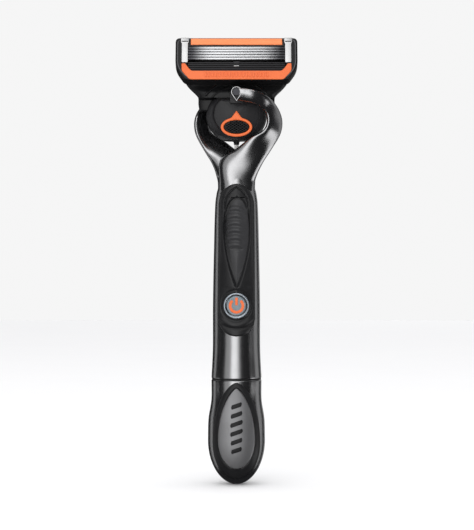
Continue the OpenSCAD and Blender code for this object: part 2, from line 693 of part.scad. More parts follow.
module plunger_spring() {
  coils = 5;
  low = pod_bottom + 3 + spring_wire_r;
  high = collar_z - spring_wire_r;
  color("#cfd3d6") from_foot() tube([for (i = [0 : 8 * coils]) let(a = 45 * i)
    [(plunger_r + 0.2) * cos(a), dock_y + (plunger_r + 0.2) * sin(a),
        low + (high - low) * i / (8 * coils)]], spring_wire_r, 6);
}

// ---------- eject button ----------

ring_z = pin_z - 11.6;
ring_half = [5.3, 3.25];
slider_w = 3.2;
slider_h = 3;
slot_low = ring_z - slider_h / 2 - gap;
eject_back = -pod_flat - 0.25;
module eject_ring() {
  color("#f07a28") from_foot() translate([0, eject_back, 0]) rotate([90, 0, 0]) linear_extrude(1.2)
      difference() {
    union() {
      translate([0, ring_z]) oval(ring_half);
      polygon([[-3.4, ring_z + 2.2], [3.4, ring_z + 2.2], [0.5, ring_z + 5.5], [-0.5, ring_z + 5.5]]);
    }
    translate([0, ring_z]) oval(ring_half - [0.9, 0.9]);
  }
}
// Ellipse as a polygon of 40 points
module oval(half) { polygon([for (i = [0 : 39]) [half.x * cos(9 * i), half.y * sin(9 * i)]]); }
module eject_button() {
  color("#2d2f33") from_foot() translate([0, eject_back, ring_z]) rotate([90, 0, 0]) linear_extrude(0.9)
      oval(ring_half - [0.9, 0.9]);
}
module eject_slider() {
  color("#2d2f33") from_foot() {
    translate([-slider_w / 2, eject_back, ring_z - slider_h / 2])
        cube([slider_w, -3.7 - eject_back, slider_h]);
    translate([-slider_w / 2, -5, ring_z - slider_h / 2]) cube([slider_w, 1.3, hub_bottom + 0.4 - ring_z]);
  }
}

// ---------- hub ----------

// Outline of the yoke's block, flared from half width low_w at the foot to high_w at the top
module yoke_outline(low_w, high_w, low, high) {
  polygon([[-low_w, low], [low_w, low], [high_w, low + 1], [high_w, high], [-high_w, high],
      [-high_w, low + 1]]);
}
// Side of the yoke: a wing out to the pivot's ear, with a skirt that comes down beside the pod
module yoke_side(s, outer) {
  translate([0, hub_front + 4.5, 0]) rotate([90, 0, 0]) linear_extrude(3.8)
    polygon([[s * 9, hub_bottom], [s * (outer - 4), hub_bottom + 1.6], [s * outer, hub_top - 1.2],
        [s * outer, hub_top],
      [s * 9, hub_top]]);
  translate([0, skirt_y, 0]) rotate([90, 0, 0]) linear_extrude(2 * skirt_y)
    polygon([[s * skirt_in, skirt_low], [s * (skirt_out - 0.4), skirt_low], [s * skirt_out, hub_bottom],
      [s * (skirt_out + 0.3), hub_bottom + 1.8], [s * 9, hub_bottom + 1.8], [s * 9, hub_bottom],
          [s * skirt_in, hub_bottom]]);
}
// Wall behind the pivot that closes the gap under the housing
module yoke_apron() {
  translate([0, hub_back, 0]) rotate([90, 0, 0]) linear_extrude(2)
    polygon([[-10.5, hub_top - 1], [10.5, hub_top - 1], [apron_half_w, pivot_z - 0.4],
        [apron_half_w, pivot_z],
      [-apron_half_w, pivot_z], [-apron_half_w, pivot_z - 0.4]]);
}
module hub_yoke() {
  ear_x = lug_x + lug_t / 2 + gap;
  outer = ear_x + hub_ear_t;
  color("#131415") from_foot() difference() {
    union() {
      translate([0, hub_back, 0]) rotate([90, 0, 0]) linear_extrude(hub_back - hub_front)
        yoke_outline(9, 10.5, hub_bottom, hub_top);
      yoke_apron();
      for (s = [-1, 1]) {
        yoke_side(s, outer);
        along_x(s > 0 ? ear_x : -outer, pivot_y, pivot_z) cylinder(r = lug_r - 0.3, h = hub_ear_t);
        translate([s > 0 ? ear_x : -outer, pivot_y - lug_r + 0.3, hub_top - 0.5])
          cube([hub_ear_t, 2 * lug_r - 0.6, pivot_z - hub_top + 0.5]);
        along_x(s > 0 ? lug_x - lug_t / 2 : -ear_x, pivot_y, pivot_z)
          cylinder(r = pivot_pin_r, h = ear_x - lug_x + lug_t / 2);
      }
    }
    translate([-window_w / 2, hub_front - 1, hub_bottom - 1])
        cube([window_w, hub_back - hub_front - 0.4, 12]);
    translate([-dock.x / 2 - gap, dock_y - dock.y / 2 - gap, hub_bottom - 1])
      cube([dock.x + 2 * gap, dock.y + 2 * gap, dock_top - hub_bottom + 1 + gap]);
  }
}

// ---------- cartridge ----------

module housing_outline() {
  corner = 3.2;
  polygon([[-half_w + corner, -0.2], [half_w - corner, -0.2], [half_w - 0.7, 2.4], [half_w, 5],
      [half_w, cartridge_h - 1.4],
    [half_w - 1.4, cartridge_h + 0.2], [-half_w + 1.4, cartridge_h + 0.2], [-half_w, cartridge_h - 1.4],
        [-half_w, 5], [-half_w + 0.7, 2.4]]);
}
module blade_housing() {
  color("#101112") on_face() difference() {
    union() {
      face_outline(0, cartridge_d) housing_outline();
      for (s = [-1, 1]) {
        along_x(s * lug_x - lug_t / 2, pivot_u, pivot_v) cylinder(r = lug_r - 0.1, h = lug_t);
        face_plate(s * lug_x - lug_t / 2, s * lug_x + lug_t / 2, cartridge_d - eps, pivot_u,
            pivot_v - lug_r + 0.1, pivot_v + lug_r - 0.1);
      }
      heel();
    }
    face_plate(-window_half_w - 0.2, window_half_w + 0.2, -eps, 3, guard_top, strip_v - 0.4);
    face_plate(-window_half_w + 1.1, window_half_w - 1.1, -eps, 1.6, strip_v, strip_v + strip_h);
    face_plate(-half_w + 2, half_w - 2, -eps, 1.2, -1, guard_top);
    for (s = [-1, 1]) {
      face_plate(s * comb_arm_x - 1.2, s * comb_arm_x + 1.2, -eps, 1.2, guard_top - eps, guard_top + 2.2);
      face_plate(s * clip_x - clip_w / 2, s * clip_x + clip_w / 2, -1, cartridge_d + 1, clip_v[0],
          clip_v[0] + clip_t);
      along_x(s * lug_x - lug_t, pivot_u, pivot_v) cylinder(r = pivot_pin_r + snug, h = 2 * lug_t);
    }
  }
}
// Block behind the housing that the plunger bears on; its lower face passes through the pivot's axis
module heel() {
  reach = dock_y - pivot_y + plunger_r;
  translate([0, pivot_u, pivot_v]) rotate([face_tilt, 0, 0]) translate([-1.8, -2.6, 0])
      cube([3.6, reach + 2.6, 1.8]);
}
module lube_strip() {
  color("#f5a06a") on_face() face_plate(-window_half_w + 1.1, window_half_w - 1.1, -0.25, 1.6, strip_v,
      strip_v + strip_h);
}
module guard_fins() {
  fins = 5;
  pitch = (fins_top - guard_top) / fins;
  fin_half_w = clip_x - clip_w / 2 - 0.1;
  color("#1c1d1f") on_face() {
    face_plate(-fin_half_w, fin_half_w, 0.8, 3, guard_top, fins_top);
    for (i = [0 : fins - 1])
      face_plate(-fin_half_w, fin_half_w, 0.05, 0.8 + eps, guard_top + pitch * (i + 0.25),
          guard_top + pitch * (i + 0.7));
  }
}
module guard_comb() {
  color("#f07a28") on_face() {
    face_outline(-0.2, 1.2) polygon([[-half_w + 4.6, -0.2], [half_w - 4.6, -0.2],
        [half_w - 2.6, guard_top - 0.6],
      [comb_arm_x + 1.1, guard_top + 2.1], [comb_arm_x - 1.1, guard_top + 2.1],
          [comb_arm_x - 1.1, guard_top],
      [-comb_arm_x + 1.1, guard_top], [-comb_arm_x + 1.1, guard_top + 2.1],
          [-comb_arm_x - 1.1, guard_top + 2.1],
      [-half_w + 2.6, guard_top - 0.6]]);
  }
}
module blade(i) {
  v = blade_v + blade_pitch * i;
  lean_u = 0.85;
  lean_v = 0.5;
  // Profile in depth and height: edge at the front, a slope to the rear and a support leg
  color("#c9cdd2") on_face() translate([-window_half_w, 0, 0]) rotate([90, 0, 90])
      linear_extrude(2 * window_half_w)
    polygon([[0.05, v], [lean_u, v + lean_v], [2.4, v + lean_v], [2.4, v + lean_v + 0.22],
        [lean_u - 0.1, v + lean_v + 0.22],
      [0.1, v + blade_t]]);
}
module clip(s) {
  color("#c4c8cc") on_face() {
    face_plate(s * clip_x - clip_w / 2, s * clip_x + clip_w / 2, -clip_t, 0, clip_v[0],
        clip_v[1] + 0.1 + clip_t);
    face_plate(s * clip_x - clip_w / 2, s * clip_x + clip_w / 2, 0, cartridge_d, clip_v[1] + 0.1,
        clip_v[1] + 0.1 + clip_t);
    face_plate(s * clip_x - clip_w / 2, s * clip_x + clip_w / 2, 0, cartridge_d + clip_t, clip_v[0],
        clip_v[0] + clip_t);
  }
}
module clip_left() { clip(-1); }
module clip_right() { clip(1); }
module trimmer_blade() {
  color("#c9cdd2") on_face() face_plate(-window_half_w, window_half_w, cartridge_d, cartridge_d + 0.15,
      cartridge_h - 4, cartridge_h + 0.1);
}
module trimmer_guard() {
  color("#f07a28") on_face() face_plate(-window_half_w, window_half_w, cartridge_d + 0.15,
      cartridge_d + 0.8, cartridge_h - 4.5, cartridge_h - 1.2);
}

fork_frame();
front_pivot_pin();
rear_pivot_pin();
barrel_shell();
bayonet_ring();
grip_front();
thumb_pad();
grip_rear();
button_bezel();
button_seal();
chassis();
circuit_board();
tact_switch();
motor_can();
motor_leads();
positive_contact();
negative_strip();
battery_can();
battery_wrap();
tail_spring();
power_button();
power_symbol();
switch_stem();
motor_shaft();
eccentric_weight();
cap_seal_ring();
cap_shell();
cap_grip();
cap_badge();
cap_spigot();
contact_spring();
contact_disc();
pod_front_cover();
pod_rear_cover();
docking_head();
eject_button();
eject_ring();
eject_slider();
plunger();
plunger_spring();
hub_yoke();
blade_housing();
lube_strip();
guard_fins();
guard_comb();
clip_left();
clip_right();
trimmer_blade();
trimmer_guard();
for (i = [1 : blade_count]) blade(i - 1);
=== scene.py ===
"""Battery-powered cartridge razor: surfaces, finishes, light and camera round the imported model.

Shapes are drawn in millimetres in the model's own frame: z up the handle from the neck, blades to -y.
"""
import json
from math import atan2, cos, exp, hypot, pi, radians, sin, sqrt

import bmesh
import bpy
from mathutils import Matrix, Vector


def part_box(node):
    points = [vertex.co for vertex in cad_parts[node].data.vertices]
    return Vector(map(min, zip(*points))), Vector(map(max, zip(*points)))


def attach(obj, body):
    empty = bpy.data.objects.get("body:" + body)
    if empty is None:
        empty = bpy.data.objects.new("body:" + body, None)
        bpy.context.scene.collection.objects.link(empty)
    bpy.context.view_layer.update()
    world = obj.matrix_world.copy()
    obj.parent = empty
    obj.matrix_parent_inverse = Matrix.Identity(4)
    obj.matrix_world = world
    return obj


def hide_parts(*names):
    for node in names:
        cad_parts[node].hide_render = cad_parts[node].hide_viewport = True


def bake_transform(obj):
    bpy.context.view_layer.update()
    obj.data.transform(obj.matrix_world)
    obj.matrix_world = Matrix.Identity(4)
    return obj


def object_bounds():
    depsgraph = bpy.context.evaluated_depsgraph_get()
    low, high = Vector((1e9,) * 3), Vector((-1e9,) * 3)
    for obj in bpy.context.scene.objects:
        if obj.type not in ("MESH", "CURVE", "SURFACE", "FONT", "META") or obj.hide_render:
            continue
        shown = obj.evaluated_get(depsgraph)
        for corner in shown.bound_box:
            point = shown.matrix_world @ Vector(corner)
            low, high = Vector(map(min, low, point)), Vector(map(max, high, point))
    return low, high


MM = 0.001
NEAR = 0.0005       # points closer than this, in millimetres, are one

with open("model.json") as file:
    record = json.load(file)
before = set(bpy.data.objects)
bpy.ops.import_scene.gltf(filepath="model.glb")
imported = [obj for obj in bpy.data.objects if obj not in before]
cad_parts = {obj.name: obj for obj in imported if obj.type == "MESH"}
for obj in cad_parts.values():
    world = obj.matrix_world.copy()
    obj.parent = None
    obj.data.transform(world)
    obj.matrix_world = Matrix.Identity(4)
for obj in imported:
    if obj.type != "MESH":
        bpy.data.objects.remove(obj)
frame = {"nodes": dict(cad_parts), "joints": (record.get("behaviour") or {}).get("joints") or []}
cad_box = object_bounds()


# ---------- places, taken from the model ----------

def corners(node):
    """Lowest and highest corners of a node, in millimetres."""
    low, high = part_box(node)
    return low * 1000, high * 1000


def middle(node):
    low, high = corners(node)
    return (low + high) / 2


SEAM = corners("barrel_shell")[0].z
SHELL_TOP = corners("barrel_shell")[1].z
CAP_TOP = corners("cap_shell")[1].z
FOOT = corners("cap_shell")[0].z
BUTTON = middle("button_bezel").z
BUTTON_R = corners("power_button")[1].x - 0.8
BUTTON_FACE = corners("power_button")[0].y
PIN = middle("front_pivot_pin").z
PIN_R = 1.2
POD_R = 10.4
POD_FLAT = 0.71 * POD_R
DRUM = 0.88             # below 1 the pod's side is fuller than a ball's
POD_LOW = corners("pod_front_cover")[0].z + 0.7
POD_TOP = PIN - 2
POD_MIDDLE = PIN - 0.68 * POD_R
RING = middle("eject_button").z
RING_BACK = corners("eject_ring")[1].y
RING_X, RING_Z = 5.3, 3.25
HUB_LOW = PIN - 1.7
HUB_TOP = PIN + 2.9

# Radius of the handle at the cap's seam, then the height and radius of the cap's bulb
SEAM_R = (corners("barrel_shell")[1].x - corners("barrel_shell")[0].x) / 2
BULB = FOOT + 15.12
BULB_R = SEAM_R + 1.23
SQUARENESS = 2.2        # of the handle's section; a circle's is 2

# Height and value of the handle's half width, half depth and forward lean
HALF_WIDTH = [(SEAM, SEAM_R), (SEAM + 10, SEAM_R - 0.45), (BUTTON, SEAM_R - 0.5),
              (BUTTON + 19, SEAM_R - 0.85), (SHELL_TOP, SEAM_R - 1.3), (0, 6.55), (4, 6.55)]
HALF_DEPTH = [(SEAM, SEAM_R), (SEAM + 14, SEAM_R + 0.5), (BUTTON, SEAM_R + 0.6),
              (BUTTON + 19, SEAM_R + 0.2), (SHELL_TOP, SEAM_R - 0.85), (0, 6.75), (4, 6.75)]
CAP_RADIUS = [(BULB, BULB_R), (FOOT + 22.3, SEAM_R + 1.03), (FOOT + 28.8, SEAM_R + 0.05),
              (CAP_TOP, SEAM_R), (SEAM, SEAM_R)]
LEAN = [(FOOT, 1.2), (BULB, 0.9), (CAP_TOP, 0), (SEAM + 8, -0.1), (BUTTON, -0.5), (BUTTON + 19, -0.7),
        (SHELL_TOP, -0.3), (0, 0), (4, 0)]

# Cartridge's face, which leans back: heights run up it from the guard's foot, depths into the housing
FACE_TILT = radians(20)
HALF_FACE = 20.6
FACE_H = 15.4
FACE_DEPTH = 4.5
GUARD_TOP = 3.1
FINS_TOP = 6.5
STRIP = (12.7, 15.3)
WINDOW = 16.8
CLIP_X = 17.45


def smooth(z, table):
    """Smooth curve through the rows of a table."""
    i = 0
    while i < len(table) - 2 and z >= table[i + 1][0]:
        i += 1

    def slope(k):
        a, b = max(k - 1, 0), min(k + 1, len(table) - 1)
        return (table[b][1] - table[a][1]) / (table[b][0] - table[a][0])

    h = table[i + 1][0] - table[i][0]
    s = min(max((z - table[i][0]) / h, 0), 1)
    return ((2 * s ** 3 - 3 * s ** 2 + 1) * table[i][1] + (s ** 3 - 2 * s ** 2 + s) * h * slope(i)
            + (3 * s ** 2 - 2 * s ** 3) * table[i + 1][1] + (s ** 3 - s ** 2) * h * slope(i + 1))


def step(x, low, high):
    """Smooth step from 0 at low to 1 at high."""
    s = min(max((x - low) / (high - low), 0), 1)
    return s * s * (3 - 2 * s)


def crest(x, middle, width):
    """Smooth bump: 1 at the middle, falling away over a width on each side."""
    return exp(-((x - middle) / width) ** 2)


def half_width(z):
    if z > SEAM:
        return smooth(z, HALF_WIDTH)
    if z > BULB:
        return smooth(z, CAP_RADIUS)
    return BULB_R * sqrt(max(0, 1 - ((BULB - z) / (BULB - FOOT + 0.05)) ** 2))


def half_depth(z):
    return smooth(z, HALF_DEPTH) if z > SEAM else half_width(z)


def corner(c, squareness=SQUARENESS):
    """Sine or cosine pushed out, so that a circle drawn with it becomes a rounded square."""
    return (1 if c > 0 else -1) * abs(c) ** (2 / squareness)


def around(turn, z, out=0):
    """Point on the handle at a share of a turn, standing out from its surface."""
    a = 2 * pi * turn
    x = (half_width(z) + out) * corner(cos(a))
    y = (half_depth(z) + out) * corner(sin(a)) + smooth(z, LEAN)
    return Vector((x, y, z))


def on_handle(x, z, out, facing):
    """Point on the handle's front (facing -1) or back (1) at x from the middle."""
    w, d = half_width(z) + out, half_depth(z) + out
    y = facing * d * max(0, 1 - (abs(x) / w) ** SQUARENESS) ** (1 / SQUARENESS)
    return Vector((x, y + smooth(z, LEAN), z))


# ---------- making pieces ----------

def cleaned(bm):
    """Merge points that meet and turn every face outwards."""
    bmesh.ops.remove_doubles(bm, verts=bm.verts, dist=NEAR)
    bmesh.ops.recalc_face_normals(bm, faces=bm.faces)
    return bm


def wrapped(columns, rows, place):
    """Grid carried onto a surface: place(u, v) gives the point for u and v from 0 to 1."""
    bm = bmesh.new()
    bmesh.ops.create_grid(bm, x_segments=columns, y_segments=rows, size=0.5)
    for vert in bm.verts:
        vert.co = place(vert.co.x + 0.5, vert.co.y + 0.5)
    return cleaned(bm)


def turned(profile, sides=72):
    """Profile of (radius, height) spun about z."""
    bm = bmesh.new()
    verts = [bm.verts.new((r, 0, z)) for r, z in profile]
    edges = [bm.edges.new(pair) for pair in zip(verts, verts[1:])]
    bmesh.ops.spin(bm, geom=verts + edges, cent=(0, 0, 0), axis=(0, 0, 1), angle=2 * pi, steps=sides,
                   use_merge=True)
    return cleaned(bm)


UPRIGHT = Matrix.Rotation(radians(90), 4, "X")


def facing_front(bm, y, z):
    """Stand a turned shape on the handle's front: its height runs to -y."""
    bm.transform(Matrix.Translation((0, y, z)) @ UPRIGHT)
    return bm


def swung(bm, turn):
    """Carry a shape round the handle's middle line."""
    bm.transform(Matrix.Rotation(turn, 4, "Z"))
    return bm


def round_edges(bm, edges, offset, segments):
    bmesh.ops.bevel(bm, geom=edges, offset=offset, segments=segments, profile=0.5, affect="EDGES",
                    material=-1)


def points_of(geom):
    """Vertices among the pieces of mesh an operator gives back."""
    return [v for v in geom if isinstance(v, bmesh.types.BMVert)]


def level_edges(bm):
    return [e for e in bm.edges if abs(e.verts[0].co.z - e.verts[1].co.z) < 1e-6]


def plate(outline, thickness, bevel=0.0, segments=3):
    """Flat outline in x and y, given a thickness up z and rounded edges."""
    bm = bmesh.new()
    face = bm.faces.new([bm.verts.new((x, y, 0)) for x, y in outline])
    grown = bmesh.ops.extrude_face_region(bm, geom=[face])["geom"]
    bmesh.ops.translate(bm, vec=(0, 0, thickness), verts=points_of(grown))
    bmesh.ops.recalc_face_normals(bm, faces=bm.faces)
    if bevel:
        round_edges(bm, level_edges(bm), bevel, segments)
    return bm


def block(low, high, bevel=0.2, segments=3):
    """Box between two corners with rounded edges."""
    bm = bmesh.new()
    bmesh.ops.create_cube(bm, size=1)
    low, high = Vector(low), Vector(high)
    bmesh.ops.scale(bm, vec=high - low, verts=bm.verts)
    bmesh.ops.translate(bm, vec=(low + high) / 2, verts=bm.verts)
    round_edges(bm, bm.edges, bevel, segments)
    return bm


def joined(*parts):
    """Several shapes as one."""
    whole = parts[0]
    for part in parts[1:]:
        mesh = bpy.data.meshes.new("part")
        part.to_mesh(mesh)
        whole.from_mesh(mesh)
        bpy.data.meshes.remove(mesh)
        part.free()
    return whole


def face_up(bm):
    """Carry a shape drawn as (x, height up the face, depth out of it) onto the cartridge's face."""
    pivot = next(j for j in frame["joints"] if j["name"] == "cartridge_pivot")["pos_m"]
    depth, height = FACE_DEPTH + 2, 3.4
    foot = Vector((0, pivot[1] * 1000 - depth * cos(FACE_TILT) - height * sin(FACE_TILT),
                   pivot[2] * 1000 - height * cos(FACE_TILT) + depth * sin(FACE_TILT)))
    bm.transform(Matrix.Translation(foot) @ Matrix.Rotation(-FACE_TILT, 4, "X") @ UPRIGHT)
    return bm


def link(obj):
    bpy.context.scene.collection.objects.link(obj)


def piece(name, bm, body, stands_for, finish, wall=0, levels=0, sharp=40):
    """Finish a shape as a piece that rides on a body and stands for CAD nodes."""
    bm.transform(Matrix.Scale(MM, 4))
    mesh = bpy.data.meshes.new(name)
    bm.to_mesh(mesh)
    bm.free()
    mesh.shade_smooth()
    if sharp:
        mesh.set_sharp_from_angle(angle=radians(sharp))
    mesh.materials.append(finish)
    obj = bpy.data.objects.new(name, mesh)
    link(obj)
    if wall:
        solid = obj.modifiers.new("wall", "SOLIDIFY")
        solid.thickness = wall * MM
        solid.offset = -1
    if levels:
        rounding = obj.modifiers.new("rounding", "SUBSURF")
        rounding.levels = rounding.render_levels = levels
    if body:
        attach(obj, body)
    if stands_for:
        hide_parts(*stands_for)
    return obj


# ---------- finishes ----------

class Wire:
    """Output of a node in a finish; arithmetic on it adds Math nodes."""

    def __init__(self, finish, socket):
        self.finish = finish
        self.socket = socket

    def math(self, operation, *values):
        return self.finish.node("ShaderNodeMath", {"operation": operation}, dict(enumerate(values)))

    def __add__(self, other):
        return self.math("ADD", self, other)

    def __sub__(self, other):
        return self.math("SUBTRACT", self, other)

    def __rsub__(self, other):
        return self.math("SUBTRACT", other, self)

    def __mul__(self, other):
        return self.math("MULTIPLY", self, other)

    def __truediv__(self, other):
        return self.math("DIVIDE", self, other)

    __radd__ = __add__
    __rmul__ = __mul__

    def sine(self):
        return self.math("SINE", self)

    def root(self):
        return self.math("SQRT", self)

    def size(self):
        return self.math("ABSOLUTE", self)

    def over(self, level):
        return self.math("GREATER_THAN", self, level)

    def ramp(self, low, high):
        """0 at low and 1 at high, smoothly."""
        limits = {"From Min": low, "From Max": high, "To Min": 0.0, "To Max": 1.0}
        return self.finish.node("ShaderNodeMapRange", {"interpolation_type": "SMOOTHSTEP"},
                                {"Value": self, **limits})


class Finish:
    """A procedural material being made."""

    def __init__(self, name, **constants):
        self.material = bpy.data.materials.new(name)
        self.material.use_nodes = True
        tree = self.material.node_tree
        self.nodes, self.links = tree.nodes, tree.links
        self.shader = self.nodes["Principled BSDF"]
        for key, value in constants.items():
            self.shader.inputs[key.replace("_", " ").title().replace("Ior", "IOR")].default_value = value
        self.spot = self.node("ShaderNodeTexCoord", {}, {}, "Object")

    def node(self, kind, settings, sockets, out=0):
        node = self.nodes.new(kind)
        for key, value in settings.items():
            if key == "stops":
                self.set_stops(node.color_ramp, value)
            else:
                setattr(node, key, value)
        for key, value in sockets.items():
            self.feed(node.inputs[key], value)
        return Wire(self, node.outputs[out])

    def feed(self, socket, value):
        if isinstance(value, Wire):
            self.links.new(value.socket, socket)
        else:
            socket.default_value = value

    def set_stops(self, ramp, stops):
        while len(ramp.elements) < len(stops):
            ramp.elements.new(0.5)
        for element, (place, colour) in zip(ramp.elements, stops):
            element.position = place
            element.color = (*colour, 1)

    def axes(self):
        """x, y and z in millimetres."""
        split = self.node("ShaderNodeSeparateXYZ", {}, {0: self.spot}).socket.node
        return [Wire(self, split.outputs[i]) * 1000 for i in range(3)]

    def noise(self, size, detail=3.0, stretch=(1, 1, 1)):
        """Noise with features of a size in millimetres, stretched along the axes."""
        scale = [1000 / (size * s) for s in stretch]
        place = self.node("ShaderNodeMapping", {}, {"Vector": self.spot, "Scale": scale})
        return self.node("ShaderNodeTexNoise", {}, {"Vector": place, "Scale": 1.0, "Detail": detail})

    def mix(self, mask, low, high):
        """Colour from low to high as the mask goes from 0 to 1."""
        low, high = [c if isinstance(c, Wire) else (*c, 1) for c in (low, high)]
        return self.node("ShaderNodeMix", {"data_type": "RGBA"}, {0: mask, 6: low, 7: high}, 2)

    def bump(self, height, depth, strength=1.0):
        """Relief of a depth in millimetres."""
        sockets = {"Strength": strength, "Distance": depth * MM, "Height": height}
        normal = self.node("ShaderNodeBump", {}, sockets)
        self.feed(self.shader.inputs["Normal"], normal)

    def set(self, colour=None, roughness=None, metallic=None):
        for name, value in (("Base Color", colour), ("Roughness", roughness), ("Metallic", metallic)):
            if value is not None:
                self.feed(self.shader.inputs[name], (*value, 1) if isinstance(value, tuple) else value)
        return self.material


def polished(name, colour, roughness=0.12, brush=(1, 1, 1)):
    """Bright metal with faint polishing marks and handling haze."""
    made = Finish(name, metallic=1.0)
    haze = made.noise(6, 4)
    marks = made.noise(0.35, 3, brush)
    made.bump(marks, 0.004, 0.25)
    dull = tuple(c * 0.9 for c in colour)
    return made.set(made.mix(haze, colour, dull), roughness + (haze * 0.05) + marks * 0.03)


def moulded(name, colour, roughness=0.35, grain=0.18, relief=0.012):
    """Moulded plastic with a fine spark-eroded texture."""
    made = Finish(name, ior=1.46)
    patch = made.noise(5, 3)
    fine = made.noise(grain, 4)
    made.bump(fine, relief, 0.5)
    darker = tuple(c * 0.8 for c in colour)
    return made.set(made.mix(patch, colour, darker), roughness + patch * 0.1 + fine * 0.06)


def rubber(name, colour, roughness=0.5):
    """Soft-touch rubber: a matt skin with fine pores and rubbed patches."""
    made = Finish(name, ior=1.5)
    rubbed = made.noise(7, 4)
    pores = made.noise(0.22, 5)
    made.bump(pores, 0.02, 0.45)
    lighter = tuple(c * 1.35 + 0.002 for c in colour)
    return made.set(made.mix(rubbed, colour, lighter), roughness + rubbed * 0.14 + pores * 0.08)


def blade_steel(name):
    """Ground blade steel with grinding lines; its colour is painted bright in the middle and dark towards the
    ends, a painted reflection and painted shade.
    """
    made = Finish(name, metallic=1.0)
    x = made.axes()[0]
    lines = made.noise(0.06, 3, (60, 1, 1))
    # painted shade: the steel's colour darkens towards the blade's ends, leaving a painted bright reflection
    # in the middle
    ends = (x.size() + made.noise(5, 2) * 2).ramp(9.5, 16.5)
    made.bump(lines, 0.004, 0.5)
    return made.set(made.mix(ends, (0.86, 0.87, 0.89), (0.1, 0.1, 0.11)), 0.24 + lines * 0.12)


def lubricant(name):
    """Pressed lubricating strip: orange, waxy and faintly streaked along its length."""
    made = Finish(name, ior=1.44, coat_roughness=0.3)
    streaks = made.noise(0.5, 4, (10, 1, 1))
    grains = made.noise(0.15, 3)
    made.bump(grains, 0.02, 0.5)
    made.feed(made.shader.inputs["Coat Weight"], 0.15 + streaks * 0.2)
    return made.set(made.mix(streaks, (0.82, 0.2, 0.055), (0.9, 0.28, 0.1)), 0.42 + grains * 0.15)


def orange_plastic(name):
    """Satin orange plastic with faint flow lines."""
    made = Finish(name, ior=1.46)
    flow = made.noise(2.5, 3, (3, 1, 1))
    fine = made.noise(0.2, 4)
    made.bump(fine, 0.012, 0.5)
    return made.set(made.mix(flow, (0.7, 0.12, 0.025), (0.77, 0.16, 0.04)), 0.36 + fine * 0.14)


def satin_badge(name):
    """Blasted metal badge with a fine grain; its colour is painted a little lighter down its left side,
    painted light as from a lamp on the left.
    """
    made = Finish(name, metallic=0.85)
    x = made.axes()[0]
    grain = made.noise(0.16, 5)
    cloud = made.noise(3.5, 3)
    made.bump(grain, 0.02, 0.6)
    # painted light: the badge's colour is lighter down its left side and darker to the right
    shade = (x + cloud * 2).ramp(-4, 5)
    painted_light_tone = made.mix(shade, (0.52, 0.52, 0.53), (0.3, 0.3, 0.31))
    return made.set(made.mix(grain, painted_light_tone, (0.42, 0.42, 0.43)), 0.42 + grain * 0.2)


def wrap_film(name):
    """Printed film round the cell: blue with a copper band at its positive end."""
    made = Finish(name, ior=1.5)
    z = made.axes()[2]
    band = z.over(corners("battery_wrap")[1].z - 12)
    flow = made.noise(3, 3)
    body = made.mix(flow, (0.02, 0.1, 0.32), (0.03, 0.13, 0.4))
    made.bump(flow, 0.02, 0.3)
    return made.set(made.mix(band, body, (0.5, 0.22, 0.09)), 0.25 + flow * 0.15)


def board(name):
    """Solder-masked board with copper tracks."""
    made = Finish(name, ior=1.5)
    x, _, z = made.axes()
    tracks = ((x * 5).sine().over(0.75)) * ((z * 1.3 + made.noise(2, 1) * 4).sine().over(-0.2))
    made.bump(tracks, 0.03, 0.6)
    return made.set(made.mix(tracks, (0.006, 0.09, 0.03), (0.02, 0.2, 0.07)), 0.3 + tracks * 0.15)


def clear_lacquer(name, colour):
    """Lacquered soft-grey button face with a fine spun texture."""
    made = Finish(name, metallic=0.6, coat_roughness=0.15)
    x, _, z = made.axes()
    z = z - BUTTON
    spun = ((x * x + z * z).root() * 22).sine()
    cloud = made.noise(1.6, 3)
    made.bump(spun, 0.008, 0.4)
    made.feed(made.shader.inputs["Coat Weight"], 0.25 + cloud * 0.2)
    return made.set(made.mix(cloud, colour, tuple(c * 0.8 for c in colour)), 0.3 + cloud * 0.12)


dark_chrome = polished("dark_chrome", (0.6, 0.6, 0.61), 0.21)
bright_rim = polished("bezel_silver", (0.56, 0.62, 0.68), 0.36)
pin_steel = polished("pin_steel", (0.09, 0.09, 0.1), 0.3)
spring_steel = polished("spring_steel", (0.8, 0.8, 0.8), 0.22, (1, 1, 6))
zinc = polished("zinc", (0.55, 0.55, 0.56), 0.4)
motor_steel = polished("motor_steel", (0.6, 0.6, 0.62), 0.25, (1, 1, 8))
shaft_steel = polished("shaft_steel", (0.7, 0.7, 0.72), 0.18, (1, 1, 12))
contact_brass = polished("contact_brass", (0.78, 0.6, 0.28), 0.25)
cell_steel = polished("cell_steel", (0.66, 0.66, 0.67), 0.3, (1, 1, 8))
weight_alloy = polished("weight_alloy", (0.42, 0.36, 0.28), 0.45)
clip_metal = polished("clip_metal", (0.93, 0.93, 0.93), 0.32, (1, 8, 1))
trimmer_steel = polished("trimmer_steel", (0.75, 0.76, 0.78), 0.22, (20, 1, 1))
grip_rubber = rubber("grip_rubber", (0.011, 0.011, 0.012), 0.27)
pad_rubber = rubber("pad_rubber", (0.03, 0.03, 0.032), 0.28)
surround_rubber = rubber("surround_rubber", (0.009, 0.009, 0.01), 0.32)
seal_rubber = rubber("seal_rubber", (0.008, 0.008, 0.008), 0.6)
fin_rubber = rubber("fin_rubber", (0.014, 0.014, 0.016), 0.38)
frame_plastic = moulded("frame_plastic", (0.05, 0.053, 0.058), 0.45)
switch_plastic = moulded("switch_plastic", (0.5, 0.5, 0.5), 0.4)
lead_red = moulded("lead_red", (0.45, 0.03, 0.02), 0.4)
pod_plastic = moulded("pod_plastic", (0.018, 0.018, 0.02), 0.3)
black_plastic = moulded("black_plastic", (0.009, 0.009, 0.01), 0.3)
housing_plastic = moulded("housing_plastic", (0.007, 0.007, 0.008), 0.34)
pad_plastic = moulded("eject_pad_plastic", (0.012, 0.012, 0.013), 0.4)
plunger_white = moulded("plunger_white", (0.75, 0.75, 0.72), 0.35)
